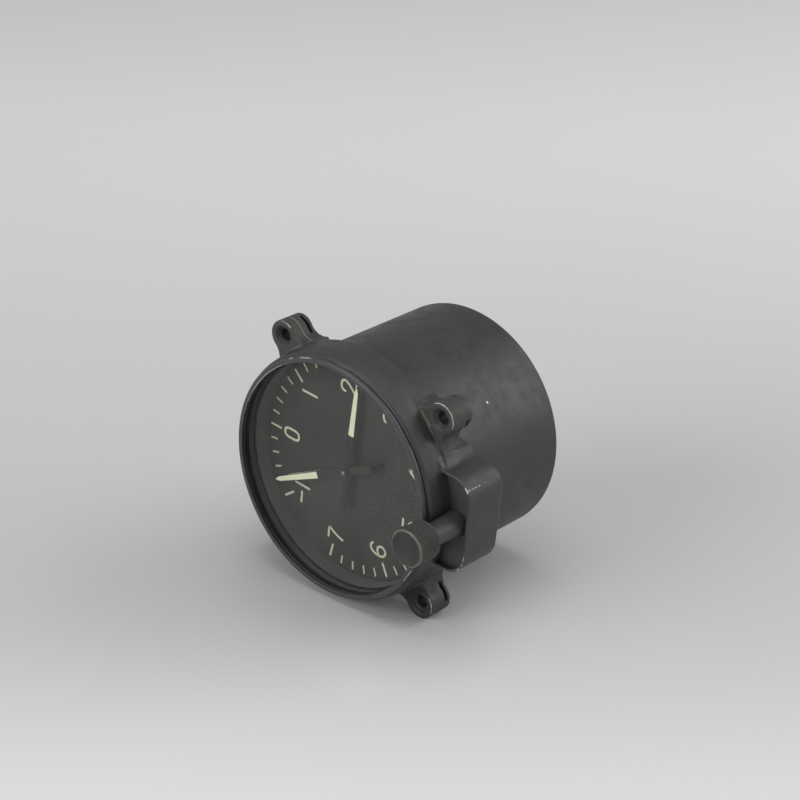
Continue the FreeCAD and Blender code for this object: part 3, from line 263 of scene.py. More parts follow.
def turned(corners, segments=192, axis=(0.0, 0.0), steps=4):
    """Surface of revolution: each point of the softened outline goes round the axis parallel to y.
    An outline that starts and ends on the axis closes with a fan at each pole."""
    line, wear = softened(corners, steps)
    poles = line[0, 0] == 0
    body, worn = (line[1:-1], wear[1:-1]) if poles else (line, wear)
    angle = np.arange(segments) * 2 * math.pi / segments
    radius, depth = body[:, 0, None], body[:, 1, None]
    grid = np.stack((
        axis[0] + radius * np.sin(angle), np.broadcast_to(depth, (len(body), segments)),
        axis[1] + radius * np.cos(angle)), -1)
    points = grid.reshape(-1, 3)
    index = np.arange(len(points)).reshape(len(body), segments)
    following = np.roll(index, -1, axis=1)
    if poles:
        low, high = index[:-1], index[1:]
        faces = [np.stack((low, following[:-1], following[1:], high), -1).reshape(-1, 4)]
        ends = [(axis[0], line[0, 1], axis[1]), (axis[0], line[-1, 1], axis[1])]
        points = np.concatenate((points, ends))
        first, last = len(points) - 2, len(points) - 1
        tip = np.full(segments, first)
        faces.append(np.stack((tip, following[0], index[0]), -1))
        faces.append(np.stack((np.full(segments, last), index[-1], following[-1]), -1))
        worn = np.concatenate((np.repeat(worn, segments), (0.0, 0.0)))
    else:
        below = np.roll(index, -1, axis=0)
        faces = [np.stack((index, following, np.roll(following, -1, axis=0), below), -1).reshape(-1, 4)]
        worn = np.repeat(worn, segments)
    return points, facing_out(points, faces), {"edge": worn}


def round_outside(a, b, radius):
    """Where two solids overlap, with a rounded edge: the larger distance, less an arc near both."""
    corner = np.hypot(np.maximum(a + radius, 0), np.maximum(b + radius, 0))
    return np.minimum(np.maximum(a, b), -radius) + corner


def round_inside(a, b, radius):
    """Two solids together, with a fillet where they meet: the smaller distance, plus an arc near both."""
    corner = np.hypot(np.maximum(radius - a, 0), np.maximum(radius - b, 0))
    return np.maximum(np.minimum(a, b), radius) - corner


def all_of(*fields):
    """Where solids overlap: the largest distance."""
    return functools.reduce(np.maximum, fields)


def any_of(*fields):
    """Solids together: the smallest distance."""
    return functools.reduce(np.minimum, fields)


def slope_of(field, points, reach):
    """Gradient of a field by central differences, and the sum of its second differences."""
    middle = field(*points.T)
    gradient = np.empty_like(points)
    bend = -6.0 * middle
    for axis in range(3):
        step = np.zeros(3)
        step[axis] = reach
        high, low = field(*(points + step).T), field(*(points - step).T)
        gradient[:, axis] = (high - low) / (2 * reach)
        bend += high + low
    return middle, gradient, bend / reach ** 2


def skin(field, low, high, cell):
    """Closed skin of the solid where field is below zero. A cubic grid is laid over the box; every cell that
    the surface crosses gets one point, at the mean of the crossings on its edges, drawn onto the
    surface along the field's slope; every grid edge that is crossed gets one quad between its four cells."""
    low = np.asarray(low, float)
    counts = np.ceil((np.asarray(high, float) - low) / cell).astype(int) + 1
    x, y, z = (low[i] + cell * np.arange(counts[i]) for i in range(3))
    values = field(x[:, None, None], y[None, :, None], z[None, None, :])
    values = np.where(values == 0, 1e-9, values)
    cells = counts - 1
    total = np.zeros((*cells, 3))
    number = np.zeros(cells)
    edges = []
    for axis in range(3):
        u, v = [i for i in range(3) if i != axis]
        near = [slice(None)] * 3
        far = [slice(None)] * 3
        near[axis], far[axis] = slice(0, -1), slice(1, None)
        a, b = values[tuple(near)], values[tuple(far)]
        crossed = (a < 0) != (b < 0)
        share = np.where(crossed, a / np.where(crossed, a - b, 1), 0)
        edges.append((crossed, a < 0))
        for du in (0, 1):
            for dv in (0, 1):
                part = [slice(None)] * 3
                part[u], part[v] = slice(du, du + cells[u]), slice(dv, dv + cells[v])
                hit = crossed[tuple(part)]
                number += hit
                total[..., axis] += share[tuple(part)]
                total[..., u] += hit * du
                total[..., v] += hit * dv
    active = number > 0
    index = np.full(cells, -1)
    index[active] = np.arange(active.sum())
    place = np.argwhere(active)
    points = low + cell * (place + total[active] / number[active][:, None])
    for reach in (0.05, 0.02):
        height, gradient, _ = slope_of(field, points, reach)
        step = height / np.maximum((gradient ** 2).sum(1), 0.25)
        points = points - np.clip(step, -cell / 2, cell / 2)[:, None] * gradient
    faces = []
    for axis, (crossed, leaving) in enumerate(edges):
        u, v = [i for i in range(3) if i != axis]
        spot = np.argwhere(crossed)
        spot = spot[(spot[:, u] > 0) & (spot[:, v] > 0) & (spot[:, u] < cells[u]) & (spot[:, v] < cells[v])]
        back_u, back_v = spot.copy(), spot.copy()
        back_u[:, u] -= 1
        back_v[:, v] -= 1
        both = back_u.copy()
        both[:, v] -= 1
        quad = np.stack([index[tuple(corner.T)] for corner in (spot, back_u, both, back_v)], 1)
        turn = leaving[tuple(spot.T)] != (axis == 1)
        faces.append(np.where(turn[:, None], quad, quad[:, ::-1]))
    return points, facing_out(points, [np.concatenate(faces)])


# Case

def quarter(x, z):
    """Across and along coordinates of the nearest lug, by folding the dial into one quarter."""
    across = (np.abs(x) - np.abs(z)) / math.sqrt(2)
    along = (np.abs(x) + np.abs(z)) / math.sqrt(2)
    return np.abs(across), along


def housing_plan(x, z):
    """Distance to the knob housing's outline: a box with two rounded corners."""
    qx = np.abs(x - HOUSING_X) - (HOUSING_HALF - HOUSING_CORNER)
    qz = -z - (HOUSING_REACH - HOUSING_CORNER)
    box = np.hypot(np.maximum(qx, 0), np.maximum(qz, 0)) + np.minimum(np.maximum(qx, qz), 0)
    return np.maximum(box - HOUSING_CORNER, z - HOUSING_TOP)


def casting_field(x, y, z):
    """Distance, near the surface, to the front casting: ring, four lugs and knob housing joined with
    fillets, less the bores, holes, nut slots and the housing's hollow."""
    r = np.hypot(x, z)
    ring = round_outside(r - np.interp(y, *TAPER), SHOULDER_FRONT - y, 0.15)
    ring = round_outside(ring, y - RING_BACK, 0.3)
    u, w = quarter(x, z)
    boss = np.hypot(u, w - LUG_CIRCLE) - LUG_RADIUS
    far, near = RING_RADIUS + LUG_FLARE, LUG_RADIUS + LUG_FLARE
    cw = (far ** 2 - near ** 2 + LUG_CIRCLE ** 2) / (2 * LUG_CIRCLE)
    cu = math.sqrt(far ** 2 - cw ** 2)
    neck = np.maximum(LUG_FLARE - np.hypot(u - cu, w - cw), u - cu * RING_RADIUS / far)
    neck = np.maximum(neck, w - cw - (LUG_CIRCLE - cw) * LUG_FLARE / near)
    lug = np.minimum(boss, neck)
    lug = round_outside(round_outside(lug, -y, 0.35), y - LUG_BACK, 0.15)
    plan = housing_plan(x, z)
    filled = plan
    far = RING_RADIUS + HOUSING_FLARE
    for side in (-1, 1):
        cx = HOUSING_X + side * (HOUSING_HALF + HOUSING_FLARE)
        cz = -math.sqrt(far ** 2 - cx ** 2)
        fill = np.maximum(HOUSING_FLARE - np.hypot(x - cx, z - cz), side * (x - cx * RING_RADIUS / far))
        fill = np.maximum(np.maximum(fill, side * (HOUSING_X - x)), np.maximum(cz - z, z - HOUSING_TOP))
        filled = np.minimum(filled, fill)
    housing = round_outside(round_outside(filled, HOUSING_FRONT - y, 0.4), y - HOUSING_BACK, 0.9)
    share = np.clip((np.degrees(np.arctan2(x, -z)) - 28.0) / 16.0, 0, 1)
    back = WEB_BACK - (WEB_BACK - LUG_BACK) * share * share * (3 - 2 * share)
    slope = r - RING_RADIUS + WEB_DROP * np.maximum(y - RING_BACK, 0) / (back - RING_BACK)
    web = all_of(slope, 1.0 - y, y - back, 14.5 - x, z + x + 2.0)
    solid = round_inside(round_inside(ring, lug, 0.7), housing, 0.9)
    solid = any_of(solid, round_inside(web, lug, 2.2), round_inside(web, housing, 2.2))
    nose = all_of(r - NOSE_RADIUS, NOSE_FRONT - y, y)
    solid = np.minimum(solid, nose)
    bores = np.minimum(np.maximum(r - GLASS_BORE, y + 4.0), np.maximum(r - CAN_BORE, 1.5 - y))
    bores = np.minimum(bores, r - CASE_BORE)
    solid = round_outside(solid, -bores, 0.15)
    hole = np.hypot(u, w - LUG_CIRCLE)
    seat = np.maximum(hole - SEAT_RADIUS + SEAT_SLOPE * y, hole - SEAT_RADIUS)
    slot = all_of(np.abs(w - LUG_CIRCLE) - SLOT_HALF, u - SLOT_REACH,
                  np.abs(y - SLOT_MIDDLE) - SLOT_HALF_THICK)
    solid = round_outside(solid, -any_of(hole - LUG_HOLE, seat, slot), 0.2)
    mouth = all_of(plan + 0.9, RING_RADIUS - r, y - COVER_BACK)
    room = all_of(plan + 1.6, CAN_RADIUS + 1.2 - r, np.abs(y - 6.15) - 5.05)
    window = all_of(np.abs(x - HOUSING_X) - 8.6, np.abs(y - 6.6) - 1.0, z + 33.4)
    bearing = all_of(np.hypot(x - KNOB_AXIS[0], z - KNOB_AXIS[1]) - BEARING_RADIUS, y - 12.2)
    hollow = any_of(mouth, room, np.maximum(window, -z - RING_RADIUS), bearing)
    return round_outside(solid, -hollow, 0.25)


def rubbed(points, strokes):
    """Share rubbed off by strokes, each (start, end, radius, strength): a bell curve of the distance to
    the line between its ends; the strongest counts."""
    share = np.zeros(len(points))
    for start, end, radius, strength in strokes:
        start, way = np.array(start, float), np.subtract(end, start)
        along = np.clip((points - start) @ way / max(way @ way, 1e-9), 0, 1)
        away = ((points - start - along[:, None] * way) ** 2).sum(1)
        share = np.maximum(share, strength * np.exp(-away / radius ** 2))
    return share


def casting_shape():
    """Skin of the casting. Its edge and hollow attributes come from how the field bends; bare marks the
    places rubbed to metal, rim the worn stretches of the lugs' front edges, lathe the distance from the
    nearest lug hole's axis, grime the lugs' front faces, low_lug_shade the darkest of them, the lowest lug's
    face, which gets painted shade, seam_wear_and_sheen the part of the ring's rear edge that shows pale,
    partly wear and partly a painted highlight, bore the wall in front of the dial, painted pale as painted
    light over its shade, and recess the hollow round the knob's bushing, whose brownish tone is partly its
    own and partly painted light over its shade."""
    points, faces = skin(casting_field, (-39.9, -9.5, -47.9), (39.9, 13.2, 39.9), sizes().cell)
    _, _, bend = slope_of(casting_field, points, 0.3)
    x, y, z = points.T
    edge = np.clip((bend - 0.5) / 1.2, 0, 1)
    u, w = quarter(x, z)
    hole = np.hypot(u, w - LUG_CIRCLE)
    rim = rubbed(points, (
        ((36.1, 0.0, -30.0), (34.9, 0.0, -34.6), 1.5, 1.2),
        ((34.9, 0.0, -34.6), (31.2, 0.0, -36.2), 1.2, 1.0),
        ((-32.2, 0.0, -36.3), (-29.3, 0.0, -35.8), 1.1, 0.9),
        ((-28.4, 0.0, -35.4), (-27.2, 0.0, -34.4), 0.8, 0.6),
        ((36.3, 0.0, 32.6), (35.8, 0.0, 29.2), 1.0, 0.6), ((-35.6, 0.0, 33.0), (-32.4, 0.0, 36.0), 1.0, 0.7),
    ))
    corners = rubbed(points, (
        ((15.6, -2.1, -45.1), (14.9, -2.1, -45.8), 0.6, 1.4),
        ((-6.4, -2.1, -47.2), (-7.4, -2.1, -47.1), 0.5, 1.0),
        ((-9.0, -2.1, -46.9), (-9.6, -2.1, -46.7), 0.45, 1.0),
        ((-11.0, -2.1, -46.1), (-11.8, -2.1, -45.6), 0.5, 1.3),
        ((13.4, 12.6, -46.4), (10.0, 12.6, -47.2), 0.9, 0.6),
    ))
    scratches = rubbed(points, (
        ((15.1, -2.0, -45.66), (15.1, 3.4, -45.66), 0.3, 0.8),
        ((15.1, 4.2, -45.66), (15.1, 12.0, -45.66), 0.26, 0.5),
        ((14.3, 2.2, -46.3), (13.6, 3.4, -46.7), 0.32, 0.6),
        ((-24.0, -3.0, -31.0), (-26.0, 0.5, -29.2), 0.3, 0.4),
    ))
    near_lug = 1.4 - 0.45 * np.maximum(hole - LUG_RADIUS, 0) - 0.12 * np.abs(y)
    reading = np.degrees(np.arctan2(x, z))
    # Pale line along the ring's rear edge, limited to its upper side: partly worn paint, partly a painted
    # highlight.
    seam_wear_and_sheen = np.clip((reading - 4) / 8, 0, 1) * np.clip((122 - reading) / 8, 0, 1) * (np.hypot(x, z) > 38.4)
    foot = np.clip((-bend - 0.15) / 0.9, 0, 1)
    face = np.clip(1.2 - 1.6 * np.abs(y - 0.2), 0, 1) * (hole < LUG_RADIUS + 2.5)
    values = {
        "edge": edge,
        "hollow": foot,
        "bare": np.maximum(edge * corners, scratches),
        "rim": rim,
        "lathe": hole,
        # Painted shade: marks the front face of the lowest lug, the one nearest the floor.
        "low_lug_shade": face * (hole < 6.0) * (x < 0) * (z < 0),
        "seam_wear_and_sheen": seam_wear_and_sheen * np.clip(2.2 - np.abs(y - 3.6), 0, 1),
        # Painted light: marks the bore wall in front of the dial, which stands in shade, to be painted pale.
        "bore": ((np.hypot(x, z) < 36.9) & (y < 1.7)).astype(float),
        # Partly painted light: marks the hollow round the knob's bushing for a lighter brownish tone over its
        # shade.
        "recess": ((housing_plan(x, z) < -0.7) & (np.hypot(x, z) > RING_RADIUS - 0.1) & (y < 1.6)
                   & (y > HOUSING_FRONT + 0.5)).astype(float),
        "grime": np.clip(np.maximum(face, near_lug), 0, 1) * np.clip((np.hypot(x, z) - 38.6) / 1.2, 0, 1),
    }
    return points, faces, values


def knurled_knob():
    """Knob turned about its axis. Between its chamfers the radius follows a diamond knurl: the depth of the
    shallower of two crossing sets of helical grooves, each a triangle wave of the unrolled surface."""
    front, back, radius = -21.25, -12.95, 5.8
    chamfer, rows, per_tooth = 0.45, 60, 8
    teeth = sizes().knurl_count
    segments = teeth * per_tooth
    angle = np.arange(segments) * 2 * math.pi / segments
    depth = np.linspace(front + chamfer, back - chamfer, rows)
    pitch = 2 * math.pi * radius / teeth
    along = (depth[:, None] - front) / pitch * 0.75
    turn = angle[None, :] * teeth / (2 * math.pi)
    wave_a = np.abs(2 * ((turn + along) % 1) - 1)
    wave_b = np.abs(2 * ((turn - along) % 1) - 1)
    groove = np.maximum(wave_a, wave_b)
    fade = np.clip(np.minimum(depth - depth[0], depth[-1] - depth) / 0.35, 0, 1)[:, None]
    ridge = (1 - np.clip((groove - 0.35) / 0.65, 0, 1)) * fade
    middle_r = radius - sizes().knurl_depth * (1 - ridge) * fade
    edge = np.where(fade > 0, ridge * 0.55, 0.9) * np.ones_like(middle_r)
    rings = [
        (0.4, front + 0.12, 0), (radius - chamfer - 0.75, front + 0.12, 0),
        (radius - chamfer - 0.55, front + 0.02, 0.0),
        (radius - chamfer - 0.15, front, 0.35), (radius - chamfer + 0.05, front + 0.06, 1),
        (radius - 0.1, front + 0.32, 0.8),
    ]
    tail = [
        (radius - 0.12, back - 0.3, 0.9), (radius - chamfer - 0.1, back - 0.03, 1),
        (radius - chamfer - 0.4, back, 0.2),
        (0.4, back, 0),
    ]
    def ring_rows(items):
        table = np.array(items)
        return [np.repeat(table[:, i, None], segments, 1) for i in range(3)]
    front_rows, back_rows = ring_rows(rings), ring_rows(tail)
    r = np.concatenate((front_rows[0], middle_r, back_rows[0]))
    y = np.concatenate((front_rows[1], np.repeat(depth[:, None], segments, 1), back_rows[1]))
    worn = np.concatenate((front_rows[2], edge, back_rows[2]))
    grid = np.stack((KNOB_AXIS[0] + r * np.sin(angle), y, KNOB_AXIS[1] + r * np.cos(angle)), -1)
    points = grid.reshape(-1, 3)
    index = np.arange(len(points)).reshape(r.shape)
    following = np.roll(index, -1, axis=1)
    faces = [np.stack((index[:-1], following[:-1], following[1:], index[1:]), -1).reshape(-1, 4)]
    ends = [(KNOB_AXIS[0], y[0, 0], KNOB_AXIS[1]), (KNOB_AXIS[0], y[-1, 0], KNOB_AXIS[1])]
    count = len(points)
    points = np.concatenate((points, ends))
    faces.append(np.stack((np.full(segments, count), following[0], index[0]), -1))
    faces.append(np.stack((np.full(segments, count + 1), index[-1], following[-1]), -1))
    return points, facing_out(points, faces), {"edge": np.concatenate((worn.ravel(), (0, 0)))}


# Dial

def ribbon(path, width, top, bottom, closed=False):
    """Flat painted stroke with round ends: a path in (x, z) is offset to both sides by half the width, which
    shrinks as a half circle past each end, and the two rims are joined over the top and down the sides."""
    path = np.asarray(path, float)
    half = width / 2
    if closed:
        tangent = np.roll(path, -1, 0) - np.roll(path, 1, 0)
        widths = np.full(len(path), half)
    else:
        cap = np.sin(np.linspace(0, math.pi / 2, 6)[1:])
        first = (path[0] - path[1]) / np.linalg.norm(path[0] - path[1])
        last = (path[-1] - path[-2]) / np.linalg.norm(path[-1] - path[-2])
        before = path[0] + first * (cap[::-1, None] * half)
        path = np.concatenate((before, path, path[-1] + last * (cap[:, None] * half)))
        cover = np.sqrt(np.maximum(1 - cap ** 2, 0.0004)) * half
        widths = np.concatenate((cover[::-1], np.full(len(path) - 10, half), cover))
        tangent = np.gradient(path, axis=0)
    tangent /= np.linalg.norm(tangent, axis=1)[:, None]
    normal = np.stack((-tangent[:, 1], tangent[:, 0]), 1) * widths[:, None]
    left, right = path + normal, path - normal
    rims = [(left, bottom), (left, top), (right, top), (right, bottom)]
    grid = np.stack([np.stack((rim[:, 0], np.full(len(rim), depth), rim[:, 1]), 1) for rim, depth in rims], 1)
    points = grid.reshape(-1, 3)
    index = np.arange(len(points)).reshape(len(path), 4)
    ahead = np.roll(index, -1, axis=0) if closed else index[1:]
    here = index if closed else index[:-1]
    faces = np.stack((here, np.roll(here, -1, 1), np.roll(ahead, -1, 1), ahead), -1).reshape(-1, 4)
    if not closed:
        faces = np.concatenate((faces, index[:1], index[-1:, ::-1]))
    return points, facing_out(points, [faces]), {"edge": np.zeros(len(points))}


def curve(points, count=48):
    """Smooth line through control points, as a uniform cubic B-spline that keeps its ends."""
    points = np.asarray(points, float)
    points = np.concatenate((2 * points[:1] - points[1:2], points, 2 * points[-1:] - points[-2:-1]))
    t = np.linspace(0, len(points) - 3 - 1e-9, count)
    k = t.astype(int)
    f = (t - k)[:, None]
    a, b, c, d = (points[k + i] for i in range(4))
    return ((1 - f) ** 3 * a + (3 * f ** 3 - 6 * f ** 2 + 4) * b
            + (-3 * f ** 3 + 3 * f ** 2 + 3 * f + 1) * c + f ** 3 * d) / 6


def bar(first, last):
    """Straight stroke of a figure, as a path that isn't closed."""
    return np.linspace(first, last, 8), False


def figure_strokes(figure):
    """Centre lines of a figure in a box one high and about two thirds wide, from its middle."""
    w, h = 0.30, 0.5
    if figure == "0":
        a = np.linspace(0, 2 * math.pi, 64, endpoint=False)
        bend = 0.62
        x = 0.26 * np.sign(np.cos(a)) * np.abs(np.cos(a)) ** bend
        z = h * np.sign(np.sin(a)) * np.abs(np.sin(a)) ** bend
        return [(np.stack((x, z), 1), True)]
    if figure == "1":
        return [bar((0, h), (0, -h))]
    if figure == "-":
        return [bar((-w, 0), (w, 0))]
    if figure == "2":
        top = curve(((-w, 0.22), (-w, 0.36), (-0.17, 0.52), (0.12, 0.53),
                     (0.31, 0.38), (0.27, 0.12), (0.02, -0.18), (-w, -h)))
        return [(top, False), bar((-w, -h), (w + 0.02, -h))]
    if figure == "3":
        top = curve(((-w, 0.36), (-0.16, 0.52), (0.14, 0.52), (0.29, 0.34), (0.20, 0.10), (-0.06, 0.06)))
        low = curve(((-0.06, 0.06), (0.24, 0.02), (0.35, -0.22),
                     (0.18, -0.50), (-0.14, -0.52), (-w - 0.02, -0.34)))
        return [(top, False), (low, False)]
    if figure == "4":
        return [bar((0.12, h), (0.12, -h)),
                bar((0.12, h), (-w - 0.04, -0.22)),
                bar((-w - 0.04, -0.22), (w, -0.22))]
    if figure == "5":
        low = curve(((-0.24, 0.06), (-0.02, 0.14), (0.24, 0.06), (0.35, -0.18),
                     (0.24, -0.44), (-0.04, -0.54), (-w, -0.38)))
        return [bar((w - 0.03, h), (-0.22, h)),
                bar((-0.22, h), (-0.25, 0.06)),
                (low, False)]
    if figure == "6":
        back = curve(((0.27, 0.40), (0.14, 0.54), (-0.10, 0.50), (-0.28, 0.24), (-0.32, -0.10),
                      (-0.27, -0.36), (-0.05, -0.54),
                      (0.20, -0.47), (0.32, -0.22), (0.21, 0.02), (-0.04, 0.08), (-0.26, -0.08)), 72)
        return [(back, False)]
    if figure == "7":
        return [bar((-w - 0.02, h), (w, h)),
                (curve(((w, h), (0.10, 0.18), (-0.06, -0.18), (-0.12, -h))), False)]
    raise ValueError("no strokes for " + figure)


def figures():
    """The numbers 0 to 7 and -1, upright to the dial, at forty degrees each from its top."""
    places = [(str(g), g) for g in range(8)] + [("-1", -1)]
    high, stroke = sizes().figure_height, sizes().stroke
    top, bottom = DIAL_FACE - 0.05, DIAL_FACE
    parts = []
    for text, g in places:
        turn = math.radians(g * DEGREES_PER_G)
        centre = np.array((math.sin(turn) * 26.0, math.cos(turn) * 25.6))
        marks = [(figure_strokes(text[-1]), (1.3 if len(text) > 1 else 0.0, 0.0))]
        if len(text) > 1:
            marks.append((figure_strokes("-"), (-2.7, 0.0)))
        for strokes, (shift_x, shift_z) in marks:
            for line, closed in strokes:
                line = line * high + centre + (shift_x, shift_z)
                parts.append(ribbon(line, stroke, top, bottom, closed))
    return merged(parts)


def ticks():
    """Long marks at each g and short ones each fifth of a g, from -1 to 7, as radial strokes."""
    parts = []
    for fifth in range(-5, 36):
        whole = fifth % 5 == 0
        turn = math.radians(fifth * DEGREES_PER_G / 5)
        way = np.array((math.sin(turn), math.cos(turn)))
        inner, outer = (30.3, 34.2) if whole else (31.9, 34.2)
        width = sizes().stroke if whole else sizes().thin_stroke
        parts.append(ribbon(np.linspace(way * inner, way * outer, 6), width, DIAL_FACE - 0.05, DIAL_FACE))
    return merged(parts)


def blade(profile, reading, back, thick, crown=0.06):
    """Hand outline from rows of (along, half-width), turned to its reading, with a slightly crowned face:
    five points across each row, the middle ones raised, over a flat underside."""
    rows = np.array(profile, float)
    across = np.array((-1.0, -0.6, 0.0, 0.6, 1.0))
    lift = crown * (1 - across ** 2)
    x = rows[:, 1, None] * across
    along = np.repeat(rows[:, 0, None], 5, 1)
    face = np.stack((x, np.broadcast_to(back - thick - lift, x.shape), along), -1)
    under = np.stack((x[:, ::-1], np.full(x.shape, back), along), -1)
    loop = np.concatenate((face, under), 1)
    points = loop.reshape(-1, 3)
    index = np.arange(len(points)).reshape(len(rows), 10)
    here, ahead = index[:-1], index[1:]
    faces = np.stack((here, np.roll(here, -1, 1), np.roll(ahead, -1, 1), ahead), -1).reshape(-1, 4)
    ends = []
    for row in (index[0], index[-1]):
        for i in range(4):
            ends.append((row[i], row[i + 1], row[8 - i], row[9 - i]))
    faces = np.concatenate((faces, np.array(ends)[:4], np.array(ends)[4:, ::-1]))
    turn = math.radians(reading)
    c, s = math.cos(turn), math.sin(turn)
    px, pz = points[:, 0].copy(), points[:, 2].copy()
    points[:, 0], points[:, 2] = px * c + pz * s, pz * c - px * s
    return points, facing_out(points, [faces]), {"edge": np.zeros(len(points))}


def hub(radius, bore, back, thick, steps=3):
    """Round boss of a hand about the centre line."""
    return turned(((bore, back, 0, 0), (radius, back, 0, 0), (radius, back - thick, 0.08, 0.4),
                   (bore, back - thick, 0, 0)), 64, steps=steps)


# Finishes

class Finish:
    """Node tree of one material, with short calls for adding nodes."""

    def __init__(self, name):
        self.material = bpy.data.materials.new(name)
        self.material.use_nodes = True
        self.tree = self.material.node_tree
        self.tree.nodes.clear()
        self.output = self.tree.nodes.new("ShaderNodeOutputMaterial")
        self.object = self.tree.nodes.new("ShaderNodeTexCoord").outputs["Object"]

    def node(self, kind, inputs, output=0, **settings):
        """Add a node, set or link its inputs, and return one output."""
        node = self.tree.nodes.new(kind)
        for key, value in settings.items():
            setattr(node, key, value)
        for key, value in inputs.items():
            if isinstance(value, bpy.types.NodeSocket):
                self.tree.links.new(value, node.inputs[key])
            else:
                node.inputs[key].default_value = value
        return node.outputs[output]

    def noise(self, scale, detail=4.0, roughness=0.55, stretch=None, distortion=0.0):
        """Noise value at a scale per metre, optionally stretched along the axes."""
        where = self.object
        if stretch:
            where = self.node("ShaderNodeMapping", {"Vector": where, "Scale": stretch})
        return self.node("ShaderNodeTexNoise", {
            "Vector": where, "Scale": scale, "Detail": detail,
            "Roughness": roughness, "Distortion": distortion})

    def between(self, value, low, high, to_low=0.0, to_high=1.0):
        """Value mapped smoothly from one range to another."""
        return self.node("ShaderNodeMapRange", {
            "Value": value, "From Min": low, "From Max": high, "To Min": to_low, "To Max": to_high},
            interpolation_type="SMOOTHSTEP")

    def maths(self, kind, a, b=0.0):
        """One arithmetic step."""
        node = self.tree.nodes.new("ShaderNodeMath")
        node.operation = kind
        for i, value in enumerate((a, b)):
            if isinstance(value, bpy.types.NodeSocket):
                self.tree.links.new(value, node.inputs[i])
            else:
                node.inputs[i].default_value = value
        return node.outputs[0]

    def times(self, a, b):
        """Product of two values."""
        return self.maths("MULTIPLY", a, b)

    def plus(self, a, b):
        """Sum of two values."""
        return self.maths("ADD", a, b)

    def minus(self, a, b):
        """Difference of two values."""
        return self.maths("SUBTRACT", a, b)

    def blend(self, share, first, second):
        """Mix of two colours."""
        return self.node("ShaderNodeMix", {0: share, 6: solid(first), 7: solid(second)}, 2, data_type="RGBA")

    def mark(self, name):
        """A point attribute of the mesh."""
        return self.node("ShaderNodeAttribute", {}, 2, attribute_name=name)

    def bump(self, height, strength, distance):
        """Normal from a height."""
        return self.node("ShaderNodeBump", {"Height": height, "Strength": strength, "Distance": distance})

    def surface(self, **inputs):
        """Principled surface with named inputs."""
        named = {key.replace("_", " "): value for key, value in inputs.items()}
        shader = self.node("ShaderNodeBsdfPrincipled", named)
        self.tree.links.new(shader, self.output.inputs["Surface"])
        return self.material


def solid(value):
    """Colour of three numbers as four; a socket stays as it is."""
    return value if isinstance(value, bpy.types.NodeSocket) else (*value, 1.0)


def shade(colour, factor):
    """Colour made lighter or darker."""
    return tuple(min(1.0, c * factor) for c in colour)


